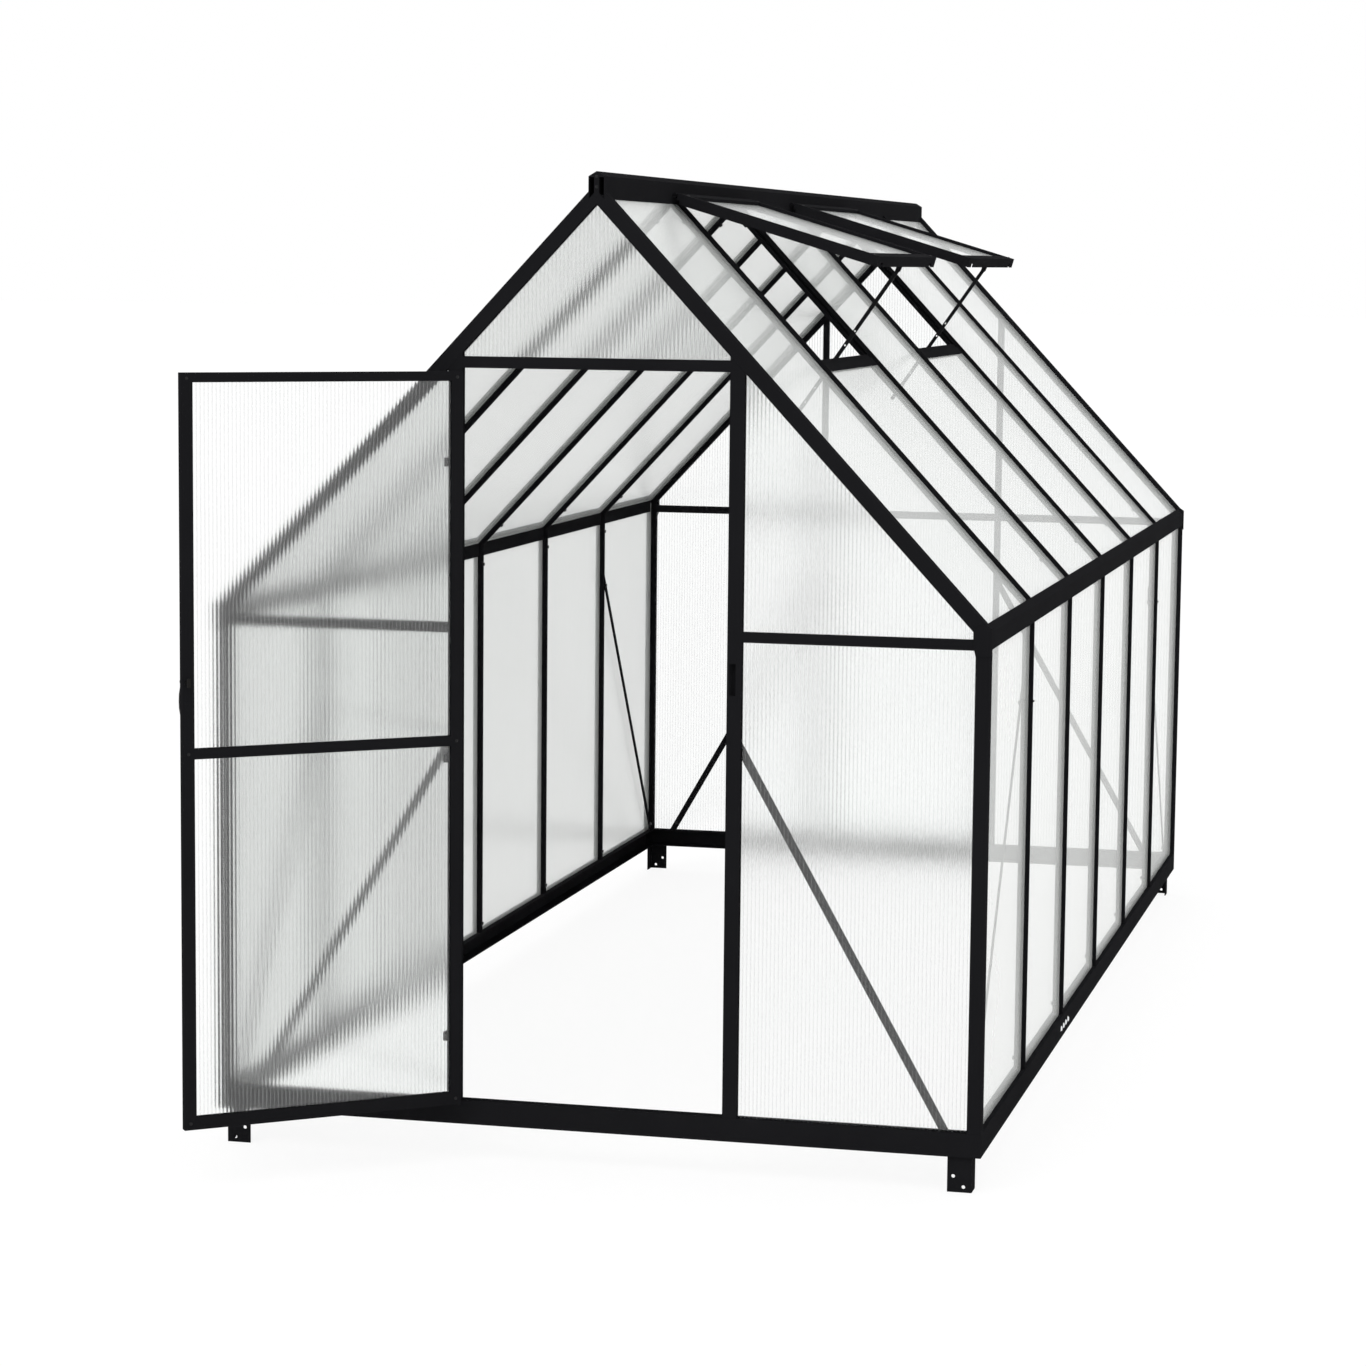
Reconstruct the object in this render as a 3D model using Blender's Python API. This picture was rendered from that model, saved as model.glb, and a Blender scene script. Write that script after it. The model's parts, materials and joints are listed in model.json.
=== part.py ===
"""Walk-in greenhouse: aluminium glazing bars, twin-wall panels, a hinged door and two roof vents.

Metres, +Z up. The origin is the middle of the door threshold, on the underside of the front base rail.
+Y runs along the house from the door end to the back end, and +X points to the slope with the vents.
"""

import math

import bmesh
import bpy
from mathutils import Matrix, Vector

# Driving dimensions of the house
BAY_PITCH = 0.700
BAY_COUNT = 6
HALF_WIDTH = 0.939
KNEE_Z = 1.2294
ROOF_RISE = 0.9949
END_OVERHANG = 0.018

# Glazing and extrusion sizes
GAP = 0.0003
PANEL = 0.006
INSET = 0.012
WALL = 0.002
ENGAGE = 0.010

# Base rail and ground anchors
BASE_DEPTH = 0.036
BASE_HEIGHT = 0.057
BASE_WALL = 0.0025
TROUGH_DEPTH = 0.0095
ANCHOR_REACH = 0.085
ANCHOR_WIDTH = 0.058
ANCHOR_LEG = 0.050
ANCHOR_THICK = 0.003
ANCHOR_INSET_X = 0.021
ANCHOR_INSET_Y = 0.008
ANCHOR_HOLE_R = 0.0045
ANCHOR_HOLE_HIGH = 0.047
ANCHOR_HOLE_LOW = 0.072
ANCHOR_HOLE_EDGE = 0.014

# Glazing bar of the bay frames
RIB_TOP = 0.010
RIB_HALF = 0.004
LIP_HALF = 0.011
WEB_HALF = 0.0015
LEG_HALF = 0.015
CHANNEL_HALF = 0.008
CHANNEL_SLOT_HALF = 0.0035
BAR_DEPTH = 0.018
BAR_PANEL_EDGE = 0.003

# Corner posts and rafters of the two ends
POST_INNER = 0.022
CORNER_DEPTH = 0.030
CORNER_LEG = 0.036
GUSSET_THICK = 0.002
GUSSET_PROUD = 0.003
GUSSET_INNER = 0.028
GUSSET_ABOVE = 0.012
GUSSET_BELOW = 0.058

# Eave beams and ridge beam
EAVE_SKIRT = 0.0434
EAVE_SHOULDER = 0.0019
EAVE_LAP = 0.012
EAVE_SHELF = 0.012
ROOF_PANEL_FOOT = 0.003
RIDGE_HALF = 0.0195
RIDGE_SHOULDER = 0.032
RIDGE_CAP = 0.0117
RIDGE_WEB_HALF = 0.006
RIDGE_WEB_DROP = 0.0148

# Door end
DOOR_POST_W = 0.035
LEAF_LAP = 0.0035
HEADER_W = 0.027
HEADER_BELOW_ROOF = 0.0364
RAIL_W = 0.024
RAIL_BELOW_KNEE = 0.0324
GABLE_EDGE_GAP = 0.001

# Back end
MULLION_X = 0.305
MULLION_W = 0.020

# Diagonal braces: feet measured in from the wall, tops in from their post's centre line and below the knee
BRACE_W = 0.020
BRACE_THICK = 0.003
BRACE_SINK = 0.0005
BRACE_END_BACK = 0.001
FRONT_BRACE_FOOT_IN = 0.078
FRONT_BRACE_TOP_IN = 0.0178
FRONT_BRACE_TOP_DROP = 0.2404
BACK_BRACE_FOOT_IN = 0.093
BACK_BRACE_TOP_IN = -0.005
BACK_BRACE_TOP_DROP = 0.2544
SIDE_BRACE_FOOT = 0.020
SIDE_BRACE_TOP_DROP = 0.2294

# Door leaf, measured from its hinge pin with the leaf shut
PIN_Y = -0.052
PIN_R = 0.0025
KNUCKLE_R = 0.005
KNUCKLE_H = 0.020
HINGE_Z = (0.230, 0.900, 1.600)
ARM_THICK = 0.010
ARM_GAP = 0.005
LEAF_EDGE = 0.010
LEAF_W = 0.686
LEAF_SHIFT = 0.003
LEAF_BOTTOM = 0.0605
LEAF_BELOW_HEADER = 0.0205
LEAF_FACE = 0.007
LEAF_THICK = 0.019
STILE_W = 0.028
TOP_RAIL_W = 0.022
BOTTOM_RAIL_W = 0.030
DOOR_RAIL_W = 0.024
DOOR_RAIL_Z = 0.935
GROOVE = 0.008
DOOR_OPEN_DEG = 140.6

# Door handle and its keeper
HANDLE_EDGE = 0.011
HANDLE_Z = 1.100
HANDLE_BOSS_R = 0.009
SPINDLE_R = 0.004
LEVER_W = 0.012
LEVER_DROP = 0.090
LEVER_PROUD = 0.018
CAM_LENGTH = 0.020
CAM_W = 0.008
CAM_THICK = 0.003
CAM_BEHIND = 0.002
SLOT_W = 0.016
SLOT_ABOVE = 0.034
SLOT_BELOW = 0.040

# Roof vents on the +X slope
VENTS = (("front", 2), ("rear", 4))
VENT_OPEN_DEG = 30.5
HINGE_X = 0.0255
HINGE_RISE = 0.0007
BEAD_R = 0.0032
SOCKET_IN_R = 0.0036
SOCKET_OUT_R = 0.0066
SOCKET_OPEN_FROM = 12.0
SOCKET_OPEN_TO = 285.0
NECK = 0.0024
SASH_W = 0.830
SASH_START = 0.0074
SASH_END = 0.539
SASH_RAIL = 0.030
SASH_ABOVE = 0.0083
SASH_OVER_RIB = 0.0005
SKIRT_START = 0.017
SKIRT_CLEAR = 0.0005
NOTCH_HALF = 0.014
SILL_S = 0.551
SILL_W = 0.039
SILL_STEP = 0.014
SILL_DROP = 0.018
SHORT_PANEL_LAP = 0.019

# Vent stays, measured from the sash hinge with the vent shut
STAY_S = 0.521
STAY_N = -0.031
STAY_LENGTH = 0.470
STAY_W = 0.010
STAY_THICK = 0.004
STAY_EYE_R = 0.0065
STAY_PIN_R = 0.002
STAY_OFF_SLOPE_DEG = 77.78
STAY_HOLE_R = 0.0026
STAY_HOLE_PITCH = 0.045
PEG_ALONG = 0.283
PEG_R = 0.0022
LUG_THICK = 0.0025
PEG_PLATE_THICK = 0.003
PEG_PLATE_AWAY = 0.0033

# Derived datum lines
LENGTH = BAY_PITCH * BAY_COUNT
SIDE_X = HALF_WIDTH - INSET
APEX_Z = KNEE_Z + ROOF_RISE
TAN = ROOF_RISE / SIDE_X
SLOPE = math.atan(TAN)
COS = math.cos(SLOPE)
SIN = math.sin(SLOPE)
ROOF_RUN = SIDE_X / COS
RAIL_Z = KNEE_Z - RAIL_BELOW_KNEE
DOOR_POST_X = LEAF_W / 2 - LEAF_LAP
HEADER_Z = APEX_Z - DOOR_POST_X * TAN - HEADER_BELOW_ROOF
LEAF_TOP = HEADER_Z - LEAF_BELOW_HEADER
PIN_X = LEAF_EDGE + LEAF_SHIFT - LEAF_W / 2
BASE_TOP = BASE_HEIGHT
POST_FOOT = BASE_TOP + GAP
PANEL_FOOT = BASE_TOP - TROUGH_DEPTH + GAP
SLOT_FRONT = INSET - GAP
SLOT_BACK = INSET + PANEL + GAP
FLANGE_BACK = SLOT_BACK + WALL
SEGMENTS = 16

BLACK = ((0.012, 0.012, 0.013, 1.0), 0.0, 0.5, 0.0)
CLEAR = ((0.86, 0.89, 0.90, 1.0), 0.0, 0.35, 0.8)

for old in list(bpy.data.objects):
    bpy.data.objects.remove(old, do_unlink=True)

PARTS = bpy.data.collections.new("greenhouse")
CUTTERS = bpy.data.collections.new("cutters")
bpy.context.scene.collection.children.link(PARTS)
bpy.context.scene.collection.children.link(CUTTERS)


# Building helpers


def finish_mesh(name, bm):
    """Turn a bmesh into a mesh with its faces pointing out."""
    bmesh.ops.recalc_face_normals(bm, faces=bm.faces)
    mesh = bpy.data.meshes.new(name)
    bm.to_mesh(mesh)
    bm.free()
    return mesh


def make_part(name, bm, look, parent=None):
    """Add one named piece with its own material."""
    obj = bpy.data.objects.new(name, finish_mesh(name, bm))
    colour, metallic, roughness, transmission = look
    mat = bpy.data.materials.new(name)
    mat.use_nodes = True
    shader = mat.node_tree.nodes["Principled BSDF"]
    shader.inputs["Base Color"].default_value = colour
    shader.inputs["Metallic"].default_value = metallic
    shader.inputs["Roughness"].default_value = roughness
    shader.inputs["Transmission Weight"].default_value = transmission
    obj.data.materials.append(mat)
    PARTS.objects.link(obj)
    obj.parent = parent
    return obj


def make_tool(name, bm, parent=None):
    """Add a solid that is joined to a piece or cut from it."""
    obj = bpy.data.objects.new(name, finish_mesh(name, bm))
    obj.hide_render = True
    obj.display_type = "WIRE"
    CUTTERS.objects.link(obj)
    obj.parent = parent
    return obj


def make_pivot(name, place, parent=None):
    """Add an empty on a joint's axis."""
    obj = bpy.data.objects.new(name, None)
    obj.empty_display_size = 0.05
    PARTS.objects.link(obj)
    obj.parent = parent
    obj.matrix_basis = place
    return obj


def apply_tool(obj, tool, operation):
    mod = obj.modifiers.new(tool.name, "BOOLEAN")
    mod.operation = operation
    mod.solver = "EXACT"
    mod.object = tool


def join(obj, *tools):
    for tool in tools:
        apply_tool(obj, tool, "UNION")


def cut(obj, *tools):
    for tool in tools:
        apply_tool(obj, tool, "DIFFERENCE")


def sweep(profile, stations, closed=False):
    """Extrude a profile face from station to station, each an origin with its two profile axes."""
    bm = bmesh.new()
    tag = bm.verts.layers.int.new("profile")

    def place(station, point):
        origin, axis_a, axis_b = station
        return Vector(origin) + Vector(axis_a) * point[0] + Vector(axis_b) * point[1]

    first = []
    for index, point in enumerate(profile):
        vert = bm.verts.new(place(stations[0], point))
        vert[tag] = index
        first.append(vert)
    start = bm.faces.new(first)
    cap = start
    for station in stations[1:]:
        before = cap
        made = bmesh.ops.extrude_face_region(bm, geom=[before])["geom"]
        cap = [item for item in made if isinstance(item, bmesh.types.BMFace)][0]
        if before is not start:
            bmesh.ops.delete(bm, geom=[before], context="FACES_ONLY")
        for vert in cap.verts:
            vert.co = place(station, profile[vert[tag]])
    if closed:
        bmesh.ops.delete(bm, geom=[start, cap], context="FACES_ONLY")
        bmesh.ops.remove_doubles(bm, verts=bm.verts, dist=0.00001)
    return bm


def prism(outline, low, high, plane="XZ"):
    """Extrude an outline drawn in one plane along the third axis."""
    axes = {
        "XZ": ((1, 0, 0), (0, 0, 1), (0, 1, 0)),
        "XY": ((1, 0, 0), (0, 1, 0), (0, 0, 1)),
        "YZ": ((0, 1, 0), (0, 0, 1), (1, 0, 0)),
    }[plane]
    third = Vector(axes[2])
    return sweep(outline, [(third * low, axes[0], axes[1]), (third * high, axes[0], axes[1])])


def box(low, high):
    bm = bmesh.new()
    centre = [(a + b) / 2 for a, b in zip(low, high)]
    size = [b - a for a, b in zip(low, high)]
    bmesh.ops.create_cube(bm, size=1.0, matrix=Matrix.Translation(centre) @ Matrix.Diagonal(size + [1.0]))
    return bm


def rod(centre, axis, radius, length, sides=SEGMENTS):
    """A round bar along an axis, centred on a point."""
    bm = bmesh.new()
    turn = Vector((0, 0, 1)).rotation_difference(Vector(axis)).to_matrix().to_4x4()
    bmesh.ops.create_cone(
        bm,
        cap_ends=True,
        segments=sides,
        radius1=radius,
        radius2=radius,
        depth=length,
        matrix=Matrix.Translation(centre) @ turn,
    )
    return bm


def mirror_x(outline):
    return [(-x, z) for x, z in outline]


def arc(centre, radius, start_deg, end_deg, steps):
    points = []
    for step in range(steps + 1):
        angle = math.radians(start_deg + (end_deg - start_deg) * step / steps)
        points.append((centre[0] + radius * math.cos(angle), centre[1] + radius * math.sin(angle)))
    return points


def roof_point(along, out, side=1):
    """X and Z of a point on a slope: distance down from the apex, and distance out of the panel's face."""
    return (side * (along * COS + out * SIN), APEX_Z - along * SIN + out * COS)


def roof_z(x, out):
    """Height of the line that lies a distance out of the roof panels' face."""
    return APEX_Z - TAN * abs(x) + out / COS


# Section outlines


def bar_section():
    """Glazing bar: distance out of the panel's face, and distance along the house."""
    back = -PANEL - GAP
    half = [
        (RIB_TOP, RIB_HALF),
        (WALL, RIB_HALF),
        (WALL, LIP_HALF),
        (GAP, LIP_HALF),
        (GAP, WEB_HALF),
        (back, WEB_HALF),
        (back, LEG_HALF),
        (back - WALL, LEG_HALF),
        (back - WALL, CHANNEL_HALF),
        (-BAR_DEPTH, CHANNEL_HALF),
        (-BAR_DEPTH, CHANNEL_SLOT_HALF),
        (-BAR_DEPTH + WALL, CHANNEL_SLOT_HALF),
        (-BAR_DEPTH + WALL, CHANNEL_HALF - WALL),
        (back - WALL, CHANNEL_HALF - WALL),
    ]
    return half + [(n, -y) for n, y in reversed(half)]


def end_section():
    """Corner post and rafter: distance out of the panel's face, and distance in from the end of the house."""
    back = -PANEL - GAP
    top = INSET - WALL
    inner = -POST_INNER
    return [
        (inner, 0),
        (INSET, 0),
        (INSET, CORNER_DEPTH),
        (GAP, CORNER_DEPTH),
        (GAP, CORNER_DEPTH - WALL),
        (top, CORNER_DEPTH - WALL),
        (top, FLANGE_BACK),
        (back, FLANGE_BACK),
        (back, CORNER_LEG),
        (back - WALL, CORNER_LEG),
        (back - WALL, FLANGE_BACK),
        (inner, FLANGE_BACK),
        (inner, SLOT_BACK),
        (top, SLOT_BACK),
        (top, WALL),
        (inner + WALL, WALL),
        (inner + WALL, SLOT_FRONT),
        (inner, SLOT_FRONT),
    ]


def mid_section(width):
    """Post or rail inside an end wall: distance across, and distance in from the end of the house."""
    half = width / 2
    side = [
        (half, 0),
        (half, SLOT_FRONT),
        (half - WALL, SLOT_FRONT),
        (half - WALL, WALL),
        (WEB_HALF, WALL),
        (WEB_HALF, SLOT_BACK),
        (half, SLOT_BACK),
        (half, FLANGE_BACK),
    ]
    return side + [(-a, e) for a, e in reversed(side)]


def base_section():
    """Base rail: distance in from the outer face, and height."""
    low = BASE_HEIGHT - TROUGH_DEPTH
    return [
        (0, 0),
        (BASE_DEPTH, 0),
        (BASE_DEPTH, BASE_WALL),
        (BASE_WALL, BASE_WALL),
        (BASE_WALL, BASE_HEIGHT - BASE_WALL),
        (SLOT_FRONT - WALL, BASE_HEIGHT - BASE_WALL),
        (SLOT_FRONT - WALL, low - WALL),
        (FLANGE_BACK, low - WALL),
        (FLANGE_BACK, BASE_HEIGHT - BASE_WALL),
        (BASE_DEPTH, BASE_HEIGHT - BASE_WALL),
        (BASE_DEPTH, BASE_HEIGHT),
        (SLOT_BACK, BASE_HEIGHT),
        (SLOT_BACK, low),
        (SLOT_FRONT, low),
        (SLOT_FRONT, BASE_HEIGHT),
        (0, BASE_HEIGHT),
    ]


def eave_section(grow=0.0):
    """Eave beam on the +X side, in X and Z; grown outlines clear it from the bars."""
    back = -PANEL - grow * 1.5
    foot = KNEE_Z - EAVE_SKIRT - grow
    shelf_z = KNEE_Z - EAVE_SHELF + GAP
    if grow:
        reach = 2 * INSET
        relief = 2 * WALL
        return [
            (HALF_WIDTH + reach, foot),
            roof_point(ROOF_RUN + reach, reach),
            roof_point(ROOF_RUN - EAVE_LAP - grow, reach),
            roof_point(ROOF_RUN - EAVE_LAP - grow, back),
            roof_point(ROOF_RUN - relief, back),
            (SIDE_X + back, KNEE_Z - relief),
            (SIDE_X + back, foot),
        ]
    knee = COS / (1 + SIN)
    return [
        (HALF_WIDTH, foot),
        (HALF_WIDTH, KNEE_Z - EAVE_SHOULDER),
        roof_point(ROOF_RUN - EAVE_LAP, INSET - WALL),
        roof_point(ROOF_RUN - EAVE_LAP, GAP),
        roof_point(ROOF_RUN - ROOF_PANEL_FOOT + GAP, GAP),
        roof_point(ROOF_RUN - ROOF_PANEL_FOOT + GAP, back),
        (SIDE_X + back, KNEE_Z + back * knee),
        (SIDE_X + back, shelf_z),
        (SIDE_X + GAP, shelf_z),
        (SIDE_X + GAP, foot),
    ]


def ridge_section(grow=0.0):
    """Ridge beam in X and Z: a roof-shaped cap over a web; grown outlines clear it from the bars."""
    shoulder = APEX_Z + RIDGE_SHOULDER + grow
    web_foot = APEX_Z - RIDGE_WEB_DROP - grow
    half = RIDGE_HALF + grow
    web = RIDGE_WEB_HALF + grow
    right = [(half, shoulder), (half, roof_z(half, GAP) - grow)]
    if not grow:
        inner = RIDGE_HALF - WALL
        ceiling = shoulder - WALL
        right += [(inner, roof_z(inner, GAP)), (inner, ceiling), (web, ceiling)]
    else:
        right += [(web, roof_z(web, GAP) - grow)]
    right += [(web, web_foot)]
    left = [(-x, z) for x, z in reversed(right)]
    return [(0, shoulder + RIDGE_CAP)] + right + left


# Where each end of the house starts, and which way is inward
ENDS = {"front": (-END_OVERHANG, 1), "back": (LENGTH + END_OVERHANG, -1)}


def frame_stations(y, inward):
    """Path of a portal: up one wall, over the ridge and down the other."""
    knee = COS / (1 + SIN)
    along = (0, inward, 0)
    return [
        ((SIDE_X, y, POST_FOOT), (1, 0, 0), along),
        ((SIDE_X, y, KNEE_Z), (1, 0, knee), along),
        ((0, y, APEX_Z), (0, 0, 1 / COS), along),
        ((-SIDE_X, y, KNEE_Z), (-1, 0, knee), along),
        ((-SIDE_X, y, POST_FOOT), (-1, 0, 0), along),
    ]


def end_range(end, near, far):
    """Sorted Y range for two depths measured in from an end of the house."""
    y, inward = ENDS[end]
    return sorted((y + inward * near, y + inward * far))


def upright(end, x, width, low, high):
    y, inward = ENDS[end]
    along = (0, inward, 0)
    return sweep(mid_section(width), [((x, y, low), (1, 0, 0), along), ((x, y, high), (1, 0, 0), along)])


def crossbar(end, z, width, x_from, x_to):
    y, inward = ENDS[end]
    along = (0, inward, 0)
    return sweep(mid_section(width), [((x_from, y, z), (0, 0, 1), along), ((x_to, y, z), (0, 0, 1), along)])


def strip_outline(start, end, width):
    """Outline of a flat bar between two points, with square ends."""
    run = Vector((end[0] - start[0], end[1] - start[1])).normalized()
    side = Vector((-run.y, run.x)) * (width / 2)
    a = Vector(start)
    b = Vector(end)
    return [tuple(a + side), tuple(b + side), tuple(b - side), tuple(a - side)]


def brace_outline(foot_x, top, stop):
    """Brace drawn past the base rail, where its foot is cut level, and cut upright just short of its post's edge."""
    slant = (top[0] - foot_x) / (top[1] - POST_FOOT)
    foot = (foot_x - slant * BRACE_W, POST_FOOT - BRACE_W)
    low_a, high_a, high_b, low_b = strip_outline(foot, top, BRACE_W)
    ends = []
    for low, high in ((low_a, high_a), (low_b, high_b)):
        share = (stop - low[0]) / (high[0] - low[0])
        ends.append((stop, low[1] + share * (high[1] - low[1])))
    return [low_a, ends[0], ends[1], low_b]


def base_cutter(name):
    """Everything below the top of the base rail."""
    low = (-HALF_WIDTH - 0.1, -END_OVERHANG - 0.1, -0.1)
    high = (HALF_WIDTH + 0.1, LENGTH + END_OVERHANG + 0.1, POST_FOOT)
    return make_tool(name, box(low, high))


def rafter_cutter(name, end):
    """Everything above the inner edge of an end rafter."""
    out = -POST_INNER - GAP
    top = APEX_Z + 0.2
    reach = HALF_WIDTH
    outline = [
        (-reach, roof_z(reach, out)),
        (0, roof_z(0, out)),
        (reach, roof_z(reach, out)),
        (reach, top),
        (-reach, top),
    ]
    low, high = end_range(end, -0.01, 0.06)
    return make_tool(name, prism(outline, low, high))


# Base frame: a mitred ring with four ground anchors
def build_base():
    front = -END_OVERHANG
    back = LENGTH + END_OVERHANG
    corners = [(-1, front, 1), (1, front, 1), (1, back, -1), (-1, back, -1), (-1, front, 1)]
    stations = [((sx * HALF_WIDTH, y, 0), (-sx, inward, 0), (0, 0, 1)) for sx, y, inward in corners]
    base = make_part("base_frame", sweep(base_section(), stations, closed=True), BLACK)
    for end in ENDS:
        y, inward = ENDS[end]
        for sx, side in ((-1, "left"), (1, "right")):
            x_out = sx * (HALF_WIDTH - ANCHOR_INSET_X)
            x_in = x_out - sx * ANCHOR_WIDTH
            y_out = y + inward * ANCHOR_INSET_Y
            y_in = y_out + inward * ANCHOR_LEG
            thick_x = x_out - sx * ANCHOR_THICK
            thick_y = y_out + inward * ANCHOR_THICK
            outline = [(x_out, y_out), (x_in, y_out), (x_in, thick_y), (thick_x, thick_y), (thick_x, y_in), (x_out, y_in)]
            label = end + "_" + side
            leg = make_tool("anchor_" + label, prism(outline, -ANCHOR_REACH, BASE_WALL * 0.6, "XY"))
            join(base, leg)
            for z, edge in ((-ANCHOR_HOLE_HIGH, x_in + sx * ANCHOR_HOLE_EDGE), (-ANCHOR_HOLE_LOW, x_out - sx * ANCHOR_HOLE_EDGE * 1.4)):
                hole = rod((edge, y_out, z), (0, 1, 0), ANCHOR_HOLE_R, ANCHOR_THICK * 6, 12)
                cut(base, make_tool("anchor_hole_" + label, hole))
    return base


# Ridge and eaves
def build_beams():
    low = -END_OVERHANG
    high = LENGTH + END_OVERHANG
    ridge = make_part("ridge_beam", prism(ridge_section(), low, high), BLACK)
    centre = (HINGE_X, APEX_Z + HINGE_RISE)
    outer = arc(centre, SOCKET_OUT_R, SOCKET_OPEN_FROM, SOCKET_OPEN_TO, 12)
    inner = arc(centre, SOCKET_IN_R, SOCKET_OPEN_TO, SOCKET_OPEN_FROM, 12)
    for label, bay in VENTS:
        mid = (bay - 0.5) * BAY_PITCH
        half = SASH_W / 2
        join(ridge, make_tool("hinge_socket_" + label, prism(outer + inner, mid - half, mid + half)))
    start = -END_OVERHANG + CORNER_DEPTH + GAP
    stop = LENGTH + END_OVERHANG - CORNER_DEPTH - GAP
    make_part("eave_beam_right", prism(eave_section(), start, stop), BLACK)
    make_part("eave_beam_left", prism(mirror_x(eave_section()), start, stop), BLACK)


def beam_cutters(name, low, high, with_eaves):
    tools = [make_tool(name + "_ridge_cut", prism(ridge_section(GAP), low, high))]
    if with_eaves:
        tools.append(make_tool(name + "_eave_cut_right", prism(eave_section(GAP), low, high)))
        tools.append(make_tool(name + "_eave_cut_left", prism(mirror_x(eave_section(GAP)), low, high)))
    return tools


# End frames with their corner plates
def build_end_frame(end):
    y, inward = ENDS[end]
    name = end + "_end_frame"
    frame = make_part(name, sweep(end_section(), frame_stations(y, inward)), BLACK)
    low, high = end_range(end, -GUSSET_THICK, -GAP)
    pad_low, pad_high = end_range(end, -GUSSET_THICK / 2, BRACE_SINK)
    pad = [
        (HALF_WIDTH - WALL, KNEE_Z - GUSSET_BELOW + WALL),
        (HALF_WIDTH - WALL, KNEE_Z - WALL),
        (SIDE_X - POST_INNER + WALL, KNEE_Z - WALL),
        (SIDE_X - POST_INNER + WALL, KNEE_Z - GUSSET_BELOW + WALL),
    ]
    plate = [
        (HALF_WIDTH + GUSSET_PROUD, KNEE_Z - GUSSET_BELOW),
        (HALF_WIDTH + GUSSET_PROUD, KNEE_Z + GUSSET_ABOVE / 2),
        (HALF_WIDTH - INSET, KNEE_Z + GUSSET_ABOVE * 1.4),
        (SIDE_X - GUSSET_INNER, KNEE_Z + GUSSET_ABOVE / 2),
        (SIDE_X - GUSSET_INNER, KNEE_Z - GUSSET_BELOW * 0.6),
        (SIDE_X - POST_INNER, KNEE_Z - GUSSET_BELOW),
    ]
    for sx, side in ((-1, "left"), (1, "right")):
        flip = (lambda shape: shape) if sx > 0 else mirror_x
        seat = make_tool(name + "_pad_" + side, prism(flip(pad), pad_low, pad_high))
        join(frame, seat, make_tool(name + "_plate_" + side, prism(flip(plate), low, high)))
    low, high = end_range(end, -0.01, 0.06)
    cut(frame, *beam_cutters(name, low, high, False))


# Bay frames: wall bar, roof bar, roof bar and wall bar in one run
def build_bay_frame(index):
    y = index * BAY_PITCH
    name = "bay_frame_" + str(index)
    frame = make_part(name, sweep(bar_section(), frame_stations(y, 1)), BLACK)
    first = index == 1
    last = index == BAY_COUNT - 1
    if first or last:
        toward = -1 if first else 1
        top = (y, KNEE_Z - SIDE_BRACE_TOP_DROP)
        foot_y = y + toward * (BAY_PITCH - SIDE_BRACE_FOOT - CORNER_LEG + END_OVERHANG)
        outline = brace_outline(foot_y, top, y - toward * (LEG_HALF - BRACE_END_BACK))
        out = -BAR_DEPTH + BRACE_SINK
        for sx, side in ((-1, "left"), (1, "right")):
            a = sx * (SIDE_X + out)
            b = sx * (SIDE_X + out - BRACE_THICK)
            brace = make_tool(name + "_brace_" + side, prism(outline, min(a, b), max(a, b), "YZ"))
            cut(brace, base_cutter(name + "_floor_" + side))
            join(frame, brace)
    cut(frame, *beam_cutters(name, y - 0.02, y + 0.02, True))


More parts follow.
